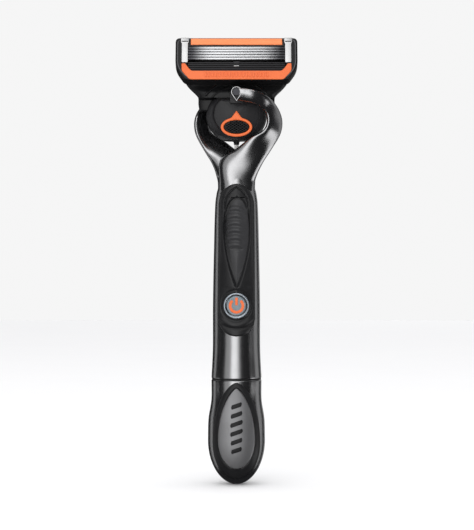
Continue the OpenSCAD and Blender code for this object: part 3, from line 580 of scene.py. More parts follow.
# painted highlight: a lighter grey for the bead along the housing's rim
painted_highlight_bead = moulded("painted_highlight_bead", (0.12, 0.12, 0.125), 0.3)
motif_black = moulded("motif_black", (0.01, 0.01, 0.011), 0.4)
orange = orange_plastic("orange")
lube = lubricant("lube")
steel = blade_steel("blade_steel")
badge_metal = satin_badge("badge_satin")
button_grey = clear_lacquer("button_grey", (0.24, 0.29, 0.32))
cell_wrap = wrap_film("cell_wrap")
board_green = board("board_green")
grease = moulded("tail_white", (0.85, 0.85, 0.83), 0.4)


# ---------- handle ----------

# Fork arm from the neck round the side of the pod to the front of the pin: middle of each section, its half
# width as a vector and its half thickness; the rows of ARM_HIGH are in pod radii from the pin
ARM_LOW = [((0, -0.2, -4), (6.4, 0, 0), 6.3), ((0.15, -1.3, 1.5), (6.2, 0, -0.6), 5.1),
           ((0.6, -3.1, 6.5), (6.1, 0.4, -3.0), 3.1)]
ARM_HIGH = [((0.42, -0.46, -2.03), (0.44, 0.1, -0.22), 0.2),
            ((0.8, -0.56, -1.63), (0.35, 0.19, -0.16), 0.12),
            ((1.12, -0.51, -1.3), (0.28, 0.24, -0.05), 0.11),
            ((1.23, -0.49, -1.03), (0.25, 0.25, 0.01), 0.105),
            ((1.22, -0.49, -0.74), (0.22, 0.25, 0.04), 0.105),
            ((1.08, -0.62, -0.47), (0.19, 0.17, 0.1), 0.105),
            ((0.85, -0.83, -0.26), (0.16, 0.03, 0.15), 0.11),
            ((0.55, -0.97, -0.14), (0.1, -0.06, 0.19), 0.11),
            ((0.25, -0.99, -0.09), (0.03, -0.08, 0.2), 0.1),
            ((-0.02, -0.99, -0.06), (0, -0.07, 0.18), 0.09)]


def arm_rows(spread):
    """Rows of the arm in millimetres: middle, half width, half thickness. The bow is scaled by spread."""
    slim = Vector((spread, 1, 1))
    high = [(Vector((0, 0, PIN)) + POD_R * slim * Vector(c), POD_R * slim * Vector(w), POD_R * t)
            for c, w, t in ARM_HIGH]
    return [(Vector(c), Vector(w), t) for c, w, t in ARM_LOW] + high


def through(values, s):
    """Catmull-Rom curve through values, s running from 0 to 1."""
    last = len(values) - 1
    i = min(int(s * last), last - 1)
    t = s * last - i
    a, b, c, d = [values[min(max(k, 0), last)] for k in (i - 1, i, i + 1, i + 2)]
    square, cube = 2 * a - 5 * b + 4 * c - d, 3 * b - a - 3 * c + d
    return 0.5 * ((2 * b) + (c - a) * t + square * t ** 2 + cube * t ** 3)


def fork_arm(turn, spread=1.0):
    rows = arm_rows(spread)
    middles, widths, thicknesses = zip(*rows)

    def place(u, v):
        s = min(max((v - 0.01) / 0.98, 0), 1)
        ahead = through(middles, min(s + 0.01, 1)) - through(middles, max(s - 0.01, 0))
        wide = through(widths, s)
        thick = through(thicknesses, s) * ahead.cross(wide).normalized()
        a = 2 * pi * u
        close = 0 if v in (0, 1) else 1
        return through(middles, s) + close * (wide * corner(cos(a), 2.6) + thick * corner(sin(a), 2.6))

    return swung(wrapped(48, 150, place), turn)


# Share of the neck's section left at each height of its crown
NECK_TOP = 1.2
CROWN = [(-1.5, 1), (NECK_TOP, 0.93), (4.4, 0.84), (6.4, 0.66), (7.6, 0.35)]


def handle_metal():
    """Barrel and neck with the two fork arms, one casting to the eye."""
    top = CROWN[-1][0]
    lip, lip_share = 0.35, 0.06

    def place(u, v):
        if v < lip_share:
            z, out = SEAM + lip * v / lip_share, -0.3 * (1 - v / lip_share) ** 2
        else:
            z, out = SEAM + lip + (top - SEAM - lip) * (v - lip_share) / (1 - lip_share), 0
        point = around(u, min(z, NECK_TOP), out)
        share = smooth(z, CROWN) if z > CROWN[0][0] else 1
        if v > 0.999:
            share = 0
        return Vector((point.x * share, point.y * share, z))

    barrel = wrapped(96, 160, place)
    bmesh.ops.solidify(barrel, geom=barrel.faces[:], thickness=1.0)
    return joined(barrel, fork_arm(0), fork_arm(pi, 0.93), pin_boss(0), pin_boss(pi))


def teardrop(a, radius):
    """Reach of a teardrop with its point downwards, in the direction a."""
    off = abs(atan2(sin(a + pi / 2), cos(a + pi / 2)))
    flank = radians(34)
    return radius / sin(off + flank) if off < pi / 2 - flank else radius


BOSS_R = PIN_R + 0.65
BOSS_BACK = -0.885 * POD_R


def boss_inlay(turn):
    """Dark floor of a pin's boss, inside its bright outline."""
    def place(u, v):
        a = 2 * pi * u
        r = teardrop(a, BOSS_R) * 0.84 * min(1, v * 3)
        return Vector((r * cos(a), BOSS_BACK - 2.0 + 0.3 * step(v, 0.34, 1), PIN + r * sin(a)))
    return swung(wrapped(72, 6, place), turn)


def pin_boss(turn):
    """Teardrop boss round the end of a pin, its point downwards."""
    length = 2.25
    rows = [(0, 0), (1, 0), (1, length - 0.35), (0.98, length - 0.1), (0.94, length), (0.84, length),
            (0.79, length - 0.2), (0.78, length - 0.45), (0, length - 0.45)]

    def place(u, v):
        share, out = rows[round(v * (len(rows) - 1))]
        a = 2 * pi * u
        r = teardrop(a, BOSS_R) * share
        return Vector((r * cos(a), BOSS_BACK + 0.1 - out, PIN + r * sin(a)))

    return swung(wrapped(72, len(rows) - 1, place), turn)


class Patch:
    """Outline laid on the handle: symmetric, between two heights, with a half width at each height."""

    def __init__(self, low, high, half):
        self.low, self.high, self.half = low, high, half

    def inset(self, x, z):
        """Roughly how far a point is inside the edge; negative outside."""
        if z <= self.low or z >= self.high:
            return -abs(x) - min(abs(z - self.low), abs(z - self.high))
        half = self.half(z)
        slope = (self.half(min(z + 0.05, self.high)) - self.half(max(z - 0.05, self.low))) / 0.1
        return (half - abs(x)) / sqrt(1 + slope * slope)


def oval(low, high, half, round_low, round_high):
    """Patch with straight sides and elliptical ends."""
    def half_at(z):
        reach = max((low + round_low - z) / round_low, (z - high + round_high) / round_high, 0)
        return half(z) * sqrt(max(0, 1 - reach ** 2))
    return Patch(low, high, half_at)


def skin(patch, height, facing, columns=64, rows=160):
    """Sheet over a patch; height(x, z) is how proud of the metal it stands."""
    def place(u, v):
        z = patch.low + (patch.high - patch.low) * (1 - cos(pi * v)) / 2
        x = -patch.half(z) * cos(pi * u)
        return on_handle(x, z, height(x, z), facing)
    return wrapped(columns, rows, place)


def rounded_edge(depth, radius):
    """Height of a rounded edge from 0 to 1, at a depth in from it."""
    s = min(max(depth / radius, 0), 1)
    return sqrt(1 - (1 - s) ** 2)


def rolled(edge, high, radius, tuck, sharp):
    """Height of a skin: a rounded edge up to high, whose last bit tucks under the surface round it."""
    return high * rounded_edge(edge, radius) - tuck * (1 - rounded_edge(edge, sharp))


FRONT_LOW, FRONT_HIGH = BUTTON - 10.4, NECK_TOP
FRONT = oval(FRONT_LOW, FRONT_HIGH, lambda z: 6.35 - 0.3 * (z - FRONT_LOW) / 50, 6.3, 7.5)
BACK = oval(SEAM + 6, FRONT_HIGH, lambda z: 6.7, 6, 7)
PAD_LOW, PAD_HIGH = BUTTON + 6.5, FRONT_HIGH - 4.7
PAD_WIDEST = PAD_HIGH - 10.5
PAD_HALF = 4.15


def pad_half(z):
    if z > PAD_WIDEST:
        return PAD_HALF * sqrt(max(0, 1 - ((z - PAD_WIDEST) / (PAD_HIGH - PAD_WIDEST)) ** 2.2))
    return PAD_HALF * sin(pi / 2 * max(0, (z - PAD_LOW) / (PAD_WIDEST - PAD_LOW))) ** 0.85


PAD = Patch(PAD_LOW, PAD_HIGH, pad_half)


def front_height(x, z):
    """Front grip: a raised rim round the thumb pad, two arched ridges over it, and a lip under the button."""
    edge = FRONT.inset(x, z)
    height = rolled(edge, 0.8, 0.9, 0.25, 0.25)
    outside = -PAD.inset(x, z)
    above = step(z, PAD_WIDEST - 8, PAD_HIGH - 2)
    height += 0.45 * crest(max(0, outside - 0.5), 0, 2.6) * step(edge, 0.2, 1.5)
    height -= 1.05 * step(-outside, -0.95 if x > 0 else -0.5, 0.3)
    height -= 0.4 * above * crest(edge, 2.1, 0.34)
    from_button = hypot(x, z - BUTTON)
    height -= 0.35 * crest(from_button, 5.1, 0.5)
    below = step(BUTTON - z, 2.5, 5)
    lip = hypot(x * 0.92, z - BUTTON - 0.3) - 6.9
    height += below * (0.35 * crest(lip, 0, 0.75) - 0.4 * crest(lip, 1.15, 0.4))
    return height


def front_grip():
    bm = skin(FRONT, front_height, -1, 96, 260)
    hole = [v for v in bm.verts if hypot(v.co.x, v.co.z - BUTTON) < BUTTON_R + 0.95]
    bmesh.ops.delete(bm, geom=hole, context="VERTS")
    return bm


def rear_height(x, z):
    """Rear grip: a plain cushion with fine cross ribs."""
    return rolled(BACK.inset(x, z), 0.8, 0.9, 0.25, 0.25) + 0.12 * sin(z * 2.6) ** 8


RIBS = 6
RIB_PITCH = 2.45


def pad_height(x, z):
    """Thumb pad: sunk below the grip's rim, with crescent ribs in its upper half."""
    edge = PAD.inset(x, z)
    height = 0.1 + 0.5 * step(edge, -0.2, 3.2) + 0.05 * x
    down = PAD_HIGH - 2.4 - z - 0.09 * (x + 0.6) ** 2
    if 0 < down < RIBS * RIB_PITCH:
        bar = sin(pi * down / RIB_PITCH) ** 2
        height += 0.7 * bar * step(edge, 0.3, 1.3) * step(-x, -3.2, -0.8)
    foot = down - RIBS * RIB_PITCH
    height -= 0.28 * crest(foot + 0.12 * x * x, 0.35, 0.35) * step(edge, 1.2, 2.2)
    return height


def bezel():
    """Bright ring round the power button."""
    inner, outer = BUTTON_R + 0.06, BUTTON_R + 1
    profile = [(inner, -3), (outer, -3), (outer, -0.15), (outer - 0.12, 0.1), (outer - 0.35, 0.2),
               (inner + 0.25, 0.12), (inner, -0.1), (inner, -3)]
    return facing_front(turned(profile), BUTTON_FACE, BUTTON)


def button():
    """Dished face with a skirt that the ring holds down."""
    r = BUTTON_R
    profile = [(0, -0.05), (r * 0.45, -0.08), (r * 0.8, -0.02), (r - 0.35, 0), (r - 0.12, -0.08),
               (r, -0.3), (r, -1.9), (r + 0.75, -1.95), (r + 0.75, -2.3), (0, -2.3)]
    return facing_front(turned(profile), BUTTON_FACE, BUTTON)


def power_symbol():
    """Open ring with a bar, as thin rounded inlays."""
    ring, half = 2.15, 0.46
    gap = 36

    def place(u, v):
        a = radians(90 + gap + (360 - 2 * gap) * u)
        s = 2 * pi * v
        open_end = 1 if 0 < u < 1 else 0
        r = ring + half * corner(cos(s), 3) * open_end
        y = BUTTON_FACE - 0.03 - 0.1 * corner(sin(s), 3) * open_end
        return Vector((r * cos(a), y, BUTTON + r * sin(a)))

    arc = wrapped(48, 12, place)
    bar = block((-0.42, BUTTON_FACE - 0.13, BUTTON + 0.2), (0.42, BUTTON_FACE + 0.03, BUTTON + 2.75), 0.06)
    return joined(arc, bar)


def tail():
    """Return spring's sleeve, a ribbed tube between the neck and the pod."""
    top, low = POD_LOW + 1, 4
    rows = 20

    def place(u, v):
        if v in (0, 1):
            return Vector((0, 0, low + (top - low) * v))
        z = low + (top - low) * (v * (rows + 2) - 1) / rows
        r = 0.72 + 0.08 * cos(z * 4)
        return Vector((r * cos(2 * pi * u), r * sin(2 * pi * u), min(max(z, low), top)))

    return wrapped(24, rows + 2, place)


def tail_boot():
    """Black boot where the tail leaves the pod."""
    bm = turned([(0, 0.8), (1.3, 0.8), (1.2, 0), (1.0, -0.5), (0.86, -1.3), (0, -1.3)], 32)
    bm.transform(Matrix.Translation((0, 0, POD_LOW - 0.1)))
    return bm


# ---------- cap ----------

def cap_metal():
    """Cap shell from its round foot to the seam, open at the top."""
    foot_share = 0.45

    def place(u, v):
        if v < foot_share:
            a = pi / 2 * v / foot_share
            z = BULB - (BULB - FOOT + 0.03) * cos(a)
            point = around(u, z)
            return point if v > 0 else Vector((0, smooth(z, LEAN), z))
        z = BULB + (CAP_TOP - BULB) * (v - foot_share) / (1 - foot_share)
        return around(u, z, -0.3 * step(z, CAP_TOP - 0.35, CAP_TOP) ** 2)

    bm = wrapped(96, 120, place)
    bmesh.ops.solidify(bm, geom=bm.faces[:], thickness=1.0)
    return bm


WIDEST = 0.36       # share of a teardrop's height at which it is widest


def drop_half(z, low, high, half, fall, ease):
    """Half width of an upright teardrop: widest near its foot, narrowing to a round top."""
    t = (z - low) / (high - low)
    if t < WIDEST:
        return half * sqrt(max(0, 1 - ((WIDEST - t) / WIDEST) ** 2))
    s = (t - WIDEST) / (1 - WIDEST)
    return half * max(0, 1 - s ** fall) ** ease


def surround_half(z):
    return drop_half(z, FOOT + 2, CAP_TOP - 0.6, 8.05, 2.3, 0.62)


def badge_half(z):
    return drop_half(z, BADGE_LOW, BADGE_HIGH, 6.25, 2.05, 0.72)


BADGE_LOW, BADGE_HIGH = FOOT + 6, CAP_TOP - 2.6
TEARDROP = Patch(FOOT + 1.3, CAP_TOP - 0.7, surround_half)
BADGE = Patch(BADGE_LOW, BADGE_HIGH, badge_half)


def surround_height(x, z):
    bed = step(BADGE.inset(x, z), -0.35, 0.05)
    return rolled(TEARDROP.inset(x, z), 0.55, 1.1, 0.3, 0.25) - 0.35 * bed


def badge_height(x, z):
    return 0.28 + rolled(BADGE.inset(x, z), 0.3, 0.45, 0.4, 0.12)


def badge_motif():
    """Six plain slanted bars down the badge."""
    bars = []
    for i in range(6):
        z = BADGE_LOW + 6.4 + 3.0 * i
        half = 2.2 - 0.16 * abs(i - 2.5)

        def place(u, v, z=z, half=half):
            x = half * (2 * u - 1)
            rise = 0.75 * (2 * v - 1) * (1 if 0 < u < 1 else 0.2)
            edge = min(u, 1 - u, v, 1 - v)
            return on_handle(x, z + rise + 0.35 * x, 0.6 + 0.05 * min(1, edge * 8), -1)
        bars.append(wrapped(16, 6, place))
    return joined(*bars)


# ---------- pod ----------

def pod_radius(z):
    """Radius of the pod's round body at a height."""
    if z > POD_MIDDLE:
        s = (z - POD_MIDDLE) / (POD_TOP - POD_MIDDLE) * 0.55
    else:
        s = (POD_MIDDLE - z) / (POD_MIDDLE - POD_LOW) * 0.9
    return POD_R * sqrt(max(0, 1 - s * s))


def pod_reach(a, y):
    """Distance from the pod's middle line to its surface, in the direction a at the depth y."""
    low, high = 0.0, 16.0
    for _ in range(30):
        r = (low + high) / 2
        z = POD_MIDDLE + r * sin(a)
        inside = POD_LOW < z < POD_TOP and (r * cos(a)) ** 2 + (DRUM * y) ** 2 < pod_radius(z) ** 2
        low, high = (r, high) if inside else (low, r)
    return low


def pod_cover(facing):
    """Half of the pod: a domed disc with a groove round it, and a round side back to the joint."""
    depths = [POD_FLAT, POD_FLAT - 0.1, POD_FLAT - 0.5, POD_FLAT - 1.2, 5, 4, 3, 2, 1, 0.4]
    flat = [(0, 0), (0.2, 0.05), (0.4, 0.18), (0.6, 0.4), (0.8, 0.7), (0.93, 0.9), (0.955, 0.35), (0.99, 0.2)]

    def place(u, v):
        a = 2 * pi * u
        i = round(v * (len(flat) + len(depths)))
        if i < len(flat):
            share, sunk = flat[i]
            r = pod_reach(a, POD_FLAT) * share
            return Vector((r * cos(a), facing * (POD_FLAT - 0.1 - sunk), POD_MIDDLE + r * sin(a)))
        if i == len(flat) + len(depths):
            return Vector((0, facing * 0.4, POD_MIDDLE))
        y = depths[i - len(flat)]
        r = pod_reach(a, y)
        return Vector((r * cos(a), facing * y, POD_MIDDLE + r * sin(a)))

    bm = wrapped(128, len(flat) + len(depths), place)
    ear = PIN_R + 1.1
    post = turned([(0, 0), (ear, 0), (ear, 2.2), (ear - 0.3, 2.5), (0, 2.5)], 48)
    facing_front(post, -4.85, PIN)
    neck = block((-ear, -POD_FLAT + 0.05, POD_TOP - 1.5), (ear, -5.3, PIN - 0.3), 0.2)
    bracket = joined(post, neck)
    if facing > 0:
        swung(bracket, pi)
    return joined(bm, bracket)


def slit():
    """Dark slot to the left of the front pin."""
    return block((-6.8, -5.5, PIN - 1.7), (-2.2, -5.0, PIN - 1.25), 0.12)


def eject_ring():
    """Oval ring with a pointer, rounded over."""
    band = 0.95

    def ellipse(a, x, z):
        return 1 / sqrt((cos(a) / x) ** 2 + (sin(a) / z) ** 2)

    def outline(a):
        off = atan2(sin(a - pi / 2), cos(a - pi / 2))
        wedge = max(0, 1 - abs(off) / 0.62)
        return ellipse(a, RING_X, RING_Z) + 2.25 * wedge ** 1.7

    def place(u, v):
        a = 2 * pi * u + pi / 2
        s = 2 * pi * v
        outer, inner = outline(a), ellipse(a, RING_X - band, RING_Z - band)
        r = (outer + inner) / 2 + (outer - inner) / 2 * corner(cos(s), 2.6)
        y = RING_BACK - 0.6 - 0.6 * corner(sin(s), 2.6)
        return Vector((r * cos(a), y, RING + r * sin(a)))

    return wrapped(120, 20, place)


def eject_pad():
    """Oval pad with a cross-hatched face."""
    def place(u, v):
        x, z = 2 * u - 1, 2 * v - 1
        disc_x, disc_z = x * sqrt(1 - z * z / 2), z * sqrt(1 - x * x / 2)
        edge = 1 - hypot(disc_x, disc_z)
        px, pz = disc_x * (RING_X - 0.9), disc_z * (RING_Z - 0.9)
        hatch = max(abs(sin(2.4 * (px + 1.5 * pz))), abs(sin(2.4 * (px - 1.5 * pz))))
        proud = 0.72 * rounded_edge(edge, 0.16) + 0.14 * (hatch - 0.8) * step(edge, 0.1, 0.25) / 0.2
        return Vector((px, RING_BACK - 0.3 - proud, RING + pz))
    return wrapped(96, 64, place)


# ---------- hub ----------

def hub_front(z):
    """Depth of the yoke's front at a height."""
    return -2.6 - 2.5 * step(z, HUB_LOW - 0.4, HUB_LOW + 0.4) + 1.2 * step(z, PIN, HUB_TOP)


def shoulder_bead(radius, half):
    """Raised bead on the yoke's front, an arc over the pod."""
    def place(u, v):
        a = radians(36 + 108 * v)
        t = 2 * pi * u
        close = 0 if v in (0, 1) else 1
        r = radius + close * half * cos(t)
        z = POD_MIDDLE - 1.5 + r * sin(a)
        return Vector((r * cos(a), hub_front(z) - close * half * 0.8 * sin(t), z))
    return wrapped(16, 90, place)


def hub():
    """Yoke: a saddle over the pod with concave shoulders flaring up to the cartridge."""
    low, high = corners("hub_yoke")
    top = HUB_TOP + 1.6
    shape = [(low.z, 12.6), (low.z + 2.4, 13.0), (PIN - 1, 13.1), (PIN, 13.8), (PIN + 1.7, 15.6),
             (PIN + 3.4, high.x), (top, high.x + 0.3)]
    rows = 44

    def place(u, v):
        t = min(max((v * (rows + 2) - 1) / rows, 0), 1)
        z = low.z + (top - low.z) * t
        a = 2 * pi * u
        wide = smooth(z, shape)
        ease = 0.5 * (1 - rounded_edge(min(t, 1 - t), 0.08))
        saddle = step(z, HUB_LOW - 0.4, HUB_LOW + 0.4)
        flare = step(z, PIN, HUB_TOP)
        near = hub_front(z)
        far = 2.6 + 2.0 * saddle - 1.0 * flare
        if v in (0, 1):
            return Vector((0, (near + far) / 2, z))
        deep = (far - near) / 2 - ease
        return Vector(((wide - ease) * corner(cos(a), 5), (near + far) / 2 + deep * corner(sin(a), 5), z))

    return joined(wrapped(96, rows + 2, place), shoulder_bead(13.2, 0.5), shoulder_bead(11.0, 0.35))


# ---------- cartridge ----------

def rounded(points, radii, steps=6):
    """Outline with each corner rounded to its radius."""
    made = []
    for i, (point, radius) in enumerate(zip(points, radii)):
        here, before, after = Vector(point), Vector(points[i - 1]), Vector(points[(i + 1) % len(points)])
        back, on = (before - here).normalized(), (after - here).normalized()
        cut = min(radius, (before - here).length * 0.45, (after - here).length * 0.45)
        a, b = here + back * cut, here + on * cut
        for k in range(steps + 1):
            t = k / steps
            made.append(tuple((1 - t) ** 2 * a + 2 * t * (1 - t) * here + t * t * b))
    return made


def frame_outline(grow=0.0):
    h = HALF_FACE + grow
    top, low = FACE_H + 0.15 + grow, -0.15 - grow
    return rounded([(-h + 3.2, low), (h - 3.2, low), (h, 4.6), (h, top), (-h, top), (-h, 4.6)],
                   [1.5, 1.5, 2.5, 1.6, 1.6, 2.5])


def window_outline():
    top = STRIP[0] - 0.35
    return rounded([(-WINDOW, GUARD_TOP), (WINDOW, GUARD_TOP), (WINDOW, top), (-WINDOW, top)], [0.4] * 4)


def housing():
    """Moulded frame: front rim round a window, with a recess for the blades behind it, and pivot lugs."""
    bm = bmesh.new()
    outer = [bm.verts.new((x, y, -FACE_DEPTH + 0.02)) for x, y in frame_outline()]
    back = bm.faces.new(outer)
    grown = bmesh.ops.extrude_face_region(bm, geom=[back])["geom"]
    bmesh.ops.translate(bm, vec=(0, 0, FACE_DEPTH - 0.02), verts=points_of(grown))
    bmesh.ops.recalc_face_normals(bm, faces=bm.faces)
    round_edges(bm, level_edges(bm), 0.5, 4)
    front = max(bm.faces, key=lambda f: f.calc_area() * (1 if f.normal.z > 0.9 else 0))
    bmesh.ops.delete(bm, geom=[front], context="FACES_ONLY")
    rim = [e for e in bm.edges if e.is_boundary]
    inner = [bm.verts.new((x, y, 0)) for x, y in window_outline()]
    loop = [bm.edges.new((inner[i - 1], inner[i])) for i in range(len(inner))]
    walls = bmesh.ops.extrude_edge_only(bm, edges=loop)["geom"]
    deep = points_of(walls)
    bmesh.ops.translate(bm, vec=(0, 0, -2.95), verts=deep)
    floor_loop = [e for e in bm.edges if e.verts[0] in deep and e.verts[1] in deep]
    bmesh.ops.contextual_create(bm, geom=floor_loop)
    bmesh.ops.triangle_fill(bm, edges=rim + loop, use_beauty=True, use_dissolve=False, normal=(0, 0, 1))
    bmesh.ops.recalc_face_normals(bm, faces=bm.faces)
    lug_x = HALF_FACE - 6.7
    lugs = []
    for x in (-lug_x, lug_x):
        lug = plate(rounded([(x - 1, 1.5), (x + 1, 1.5), (x + 1, 5.3), (x - 1, 5.3)], [0.3] * 4), 4.2, 0.3)
        lug.transform(Matrix.Translation((0, 0, -FACE_DEPTH - 3.8)))
        lugs.append(lug)
    heel = block((-1.8, 3.1, -FACE_DEPTH - 6.2), (1.8, 5.3, -FACE_DEPTH + 0.3), 0.3)
    return face_up(joined(bm, heel, *lugs))


BEAD_R = 0.13


def rim_line():
    """Thin raised bead round the housing's front, in a lighter grey that paints a highlight along the frame's
    rim.
    """
    path = frame_outline(-0.75)

    def place(u, v):
        n = len(path)
        s = u * n
        i = int(s) % n
        a, b = Vector(path[i]), Vector(path[(i + 1) % n])
        point = a.lerp(b, s - int(s))
        out = (point - Vector((0, FACE_H / 2))).normalized()
        t = 2 * pi * v
        wide = BEAD_R * cos(t)
        return Vector((point.x + out.x * wide, point.y + out.y * wide, BEAD_R * sin(t) + 0.02))
    return face_up(wrapped(len(path) * 2, 8, place))


def comb():
    """Orange guard: a U round the foot of the blades, with fine ribs along its face."""
    h = HALF_FACE
    arm = FINS_TOP - 0.6
    right = [(h - 4.7, 0.0), (h - 2.1, 3.2), (h - 2.1, arm), (h - 3.3, arm), (h - 4.4, 4.2),
             (h - 5.4, GUARD_TOP)]
    left = [(-x, y) for x, y in reversed(right)]
    radii = [0.8, 0.8, 0.3, 0.3, 0.8, 0.6]
    outline = rounded(right + left, radii + radii[::-1], 4)
    body = plate(outline, 1.3, 0.18)
    body.transform(Matrix.Translation((0, 0, -1.08)))
    count, pitch, half = 19, 1.15, 0.3
    ribs = []
    for i in range(count):
        x = (i - (count - 1) / 2) * pitch
        ribs.append(block((x - half, 0.7, 0.1), (x + half, 2.5, 0.5), 0.16, 2))
    return face_up(joined(body, *ribs))


def strip():
    """Lubricating strip with a softly crowned face."""
    half = HALF_FACE - 5.1

    def place(u, v):
        x = half * corner(-cos(pi * u), 2)
        t = 2 * v - 1
        y = (STRIP[0] + STRIP[1]) / 2 + (STRIP[1] - STRIP[0]) / 2 * t
        edge = min((1 - abs(t)) * 1.3, half - abs(x))
        return Vector((x, y, -0.3 + 0.62 * rounded_edge(edge, 0.5) + 0.02 * sin(9 * x) * sin(13 * t)))
    return face_up(wrapped(160, 16, place))


def clip(s):
    """Bent metal strip over the housing's end: a broad head and a narrower stem, and a leg down the back."""
    x = s * CLIP_X
    low, shoulder, top = FINS_TOP - 0.3, FACE_H - 2.0, FACE_H + 0.02
    stem, head = 1.05, 1.35
    right = [(stem, low), (stem, shoulder), (head, shoulder + 0.3), (head, top)]
    left = [(-across, y) for across, y in reversed(right)]
    outline = [(x + across, y) for across, y in [left[-1]] + right + left[:-1]]
    front = plate(rounded(outline, [0.25] * 8, 3), 0.28, 0.09)
    back = block((x - stem, low, -FACE_DEPTH - 0.25), (x + stem, top, -FACE_DEPTH - 0.02), 0.08)
    return face_up(joined(front, back))


def clip_slot(s):
    """Dark slot across the clip's head."""
    x = s * CLIP_X
    return face_up(block((x - 1.1, FACE_H - 1.55, 0.2), (x + 1.1, FACE_H - 1.15, 0.31), 0.04))


def fins():
    """Rubber guard: soft ribs with a bump at their middle."""
    count = 5
    pitch = (FINS_TOP - GUARD_TOP) / count
    bars = [block((-WINDOW + 0.3, GUARD_TOP - 0.1, -3), (WINDOW - 0.3, FINS_TOP, -0.75), 0.1)]
    for i in range(count):
        y = GUARD_TOP + pitch * (i + 0.5)
        half = pitch * 0.32
        bars.append(block((-WINDOW + 0.5, y - half, -0.9), (WINDOW - 0.5, y + half, -0.06), 0.12))
    bars.append(block((-1.1, FINS_TOP - 0.7, -0.8), (1.1, FINS_TOP + 0.25, 0.0), 0.2))
    return face_up(joined(*bars))


def blade(i):
    """Ground blade strip on its support, its edge towards the guard."""
    low = 7.45 + i
    half = WINDOW - 0.35
    edge = block((-half, low, -0.16), (half, low + 0.8, -0.05), 0.04, 2)
    leg = block((-half, low + 0.45, -2.4), (half, low + 0.65, -0.1), 0.05, 2)
    return face_up(joined(edge, leg))


def fin_dash():
    return face_up(block((-0.9, FINS_TOP - 1.65, -0.3), (0.9, FINS_TOP - 1.35, 0.02), 0.1))


# ---------- assembly ----------

piece("handle_metal", handle_metal(), "handle", ["barrel_shell", "fork_frame"], dark_chrome)
piece("front_grip", front_grip(), "handle", ["grip_front"], grip_rubber, wall=0.75)
piece("thumb_rest", skin(PAD, pad_height, -1, 48, 260), "handle", ["thumb_pad"], pad_rubber,
      wall=0.5)
piece("rear_grip", skin(BACK, rear_height, 1, 64, 240), "handle", ["grip_rear"], grip_rubber,
      wall=0.75)
piece("button_rim", bezel(), "handle", ["button_bezel"], bright_rim)
piece("button_face", button(), "power_button", ["power_button"], button_grey)
piece("button_mark", power_symbol(), "power_button", ["power_symbol"], orange)
for turn, word in ((0, "front"), (pi, "rear")):
    piece(f"boss_inlay_{word}", boss_inlay(turn), "handle", [], motif_black)
tail_piece = piece("tail_sleeve", tail(), None, ["tail_spring"], grease)
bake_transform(tail_piece)
piece("tail_boot", tail_boot(), "pod", [], black_plastic)

piece("cap_metal", cap_metal(), "cap", ["cap_shell"], dark_chrome)
piece("cap_surround", skin(TEARDROP, surround_height, -1, 72, 140), "cap", ["cap_grip"], surround_rubber,
      wall=0.6)
piece("badge", skin(BADGE, badge_height, -1, 56, 120), "cap", ["cap_badge"], badge_metal,
      wall=0.4)
piece("badge_bars", badge_motif(), "cap", [], motif_black, wall=0.15)

piece("pod_front", pod_cover(-1), "pod", ["pod_front_cover"], pod_plastic)
piece("pod_rear", pod_cover(1), "pod", ["pod_rear_cover"], pod_plastic)
piece("hub_slit", slit(), "hub", [], motif_black)
piece("eject_oval", eject_ring(), "eject", ["eject_ring"], orange)
piece("eject_face", eject_pad(), "eject", ["eject_button"], pad_plastic, wall=0.3)

piece("hub_saddle", hub(), "hub", ["hub_yoke"], black_plastic)
for sign, word in ((-1, "left"), (1, "right")):
    piece(f"clip_strip_{word}", clip(sign), "cartridge", [f"clip_{word}"], clip_metal)
    piece(f"clip_slot_{word}", clip_slot(sign), "cartridge", [], motif_black)

piece("housing_frame", housing(), "cartridge", ["blade_housing"], housing_plastic)
piece("housing_bead", rim_line(), "cartridge", [], painted_highlight_bead)
piece("comb_guard", comb(), "cartridge", ["guard_comb"], orange)
piece("lube_bar", strip(), "cartridge", ["lube_strip"], lube, wall=0.5)
piece("fin_guard", fins(), "cartridge", ["guard_fins"], fin_rubber)
for number in range(5):
    piece(f"blade_strip_{number + 1}", blade(number), f"blade_{number + 1}", [f"blade_{number + 1}"], steel)
piece("fin_mark", fin_dash(), "cartridge", [], clip_metal)

CARRIED = {
    "front_pivot_pin": pin_steel, "rear_pivot_pin": pin_steel, "bayonet_ring": zinc,
    "button_seal": seal_rubber, "chassis": frame_plastic, "circuit_board": board_green,
    "tact_switch": switch_plastic, "motor_can": motor_steel, "motor_leads": lead_red,
    "positive_contact": contact_brass, "negative_strip": contact_brass, "battery_can": cell_steel,
    "battery_wrap": cell_wrap, "switch_stem": plunger_white, "motor_shaft": shaft_steel,
    "eccentric_weight": weight_alloy, "cap_seal_ring": seal_rubber, "cap_spigot": frame_plastic,
    "contact_spring": contact_brass, "contact_disc": contact_brass, "docking_head": black_plastic,
    "eject_slider": pad_plastic, "plunger": plunger_white, "plunger_spring": spring_steel,
    "trimmer_blade": trimmer_steel, "trimmer_guard": orange}
for node, finish in CARRIED.items():
    frame["nodes"][node].data.materials.clear()
    frame["nodes"][node].data.materials.append(finish)


# ---------- floor, light and camera ----------

def floor():
    made = Finish("floor_white", roughness=0.9)
    cloud = made.noise(60, 2)
    finish = made.set(made.mix(cloud, (0.95, 0.95, 0.95), (0.93, 0.93, 0.935)))
    bm = turned([(0, 0), (1800, 0), (1800, -10), (0, -10)], 96)
    bm.transform(Matrix.Translation((0, 0, cad_box[0].z * 1000 - 0.02)))
    obj = piece("floor", bm, None, [], finish)
    obj.visible_glossy = False


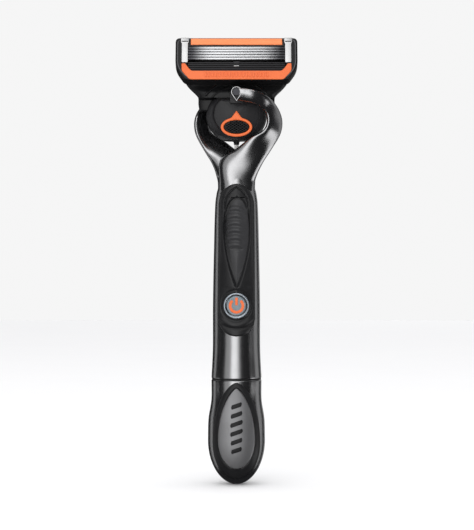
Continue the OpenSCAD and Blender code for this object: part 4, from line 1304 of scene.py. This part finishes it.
def soft_light(name, azimuth, elevation, distance, width, height, radiance, target=(0, 0, 0.02)):
    """Rectangular soft light at an azimuth from straight in front, facing the razor."""
    data = bpy.data.lights.new(name, "AREA")
    data.shape = "RECTANGLE"
    data.size, data.size_y = width, height
    data.energy = pi * width * height * radiance
    obj = bpy.data.objects.new(name, data)
    link(obj)
    a, e = radians(azimuth), radians(elevation)
    target = Vector(target)
    obj.location = target + distance * Vector((sin(a) * cos(e), -cos(a) * cos(e), sin(e)))
    obj.rotation_euler = (target - obj.location).to_track_quat("-Z", "Y").to_euler()
    obj.visible_camera = False


def studio():
    soft_light("front_core", -8, 2, 0.95, 0.4, 1.25, 1.15)
    soft_light("front_wide", -20, 2, 1.0, 1.2, 1.3, 0.4)
    soft_light("upper_softbox", -10, 46, 0.95, 1.2, 0.36, 1.2)
    soft_light("right_fill", 112, 0, 0.9, 0.5, 1.4, 0.3)
    soft_light("left_fill", -122, 0, 0.9, 0.3, 1.4, 0.35)
    soft_light("back_softbox", 165, 10, 2.6, 1.4, 3.0, 0.35)
    soft_light("low_right", 82, -30, 0.9, 0.5, 0.45, 1.3)
    soft_light("low_left", -95, -28, 0.9, 0.3, 0.4, 0.7)
    soft_light("top_light", 0, 86, 0.9, 0.5, 0.4, 1.2)
    world = bpy.data.worlds.new("studio")
    bpy.context.scene.world = world
    world.use_nodes = True
    nodes, links = world.node_tree.nodes, world.node_tree.links
    path = nodes.new("ShaderNodeLightPath")

    def pick(ray, other, this):
        """One shade for a kind of ray, and another for the rest."""
        mix = nodes.new("ShaderNodeMix")
        mix.data_type = "RGBA"
        links.new(path.outputs[ray], mix.inputs[0])
        for slot, value in ((6, other), (7, this)):
            if isinstance(value, tuple):
                mix.inputs[slot].default_value = value
            else:
                links.new(value, mix.inputs[slot])
        return mix.outputs[2]

    ambient = pick("Is Glossy Ray", (0.98, 0.98, 0.99, 1), (0.02, 0.02, 0.021, 1))
    links.new(pick("Is Camera Ray", ambient, (0.92, 0.92, 0.92, 1)), nodes["Background"].inputs["Color"])


def camera():
    data = bpy.data.cameras.new("camera")
    data.lens = 120
    data.sensor_width = 36
    data.clip_end = 10
    obj = bpy.data.objects.new("camera", data)
    link(obj)
    obj.location = (0.00017, -0.6037, -0.0263)
    obj.rotation_euler = (pi / 2, 0, 0)
    bpy.context.scene.camera = obj


floor()
studio()
camera()
bpy.context.scene.view_settings.view_transform = "Standard"
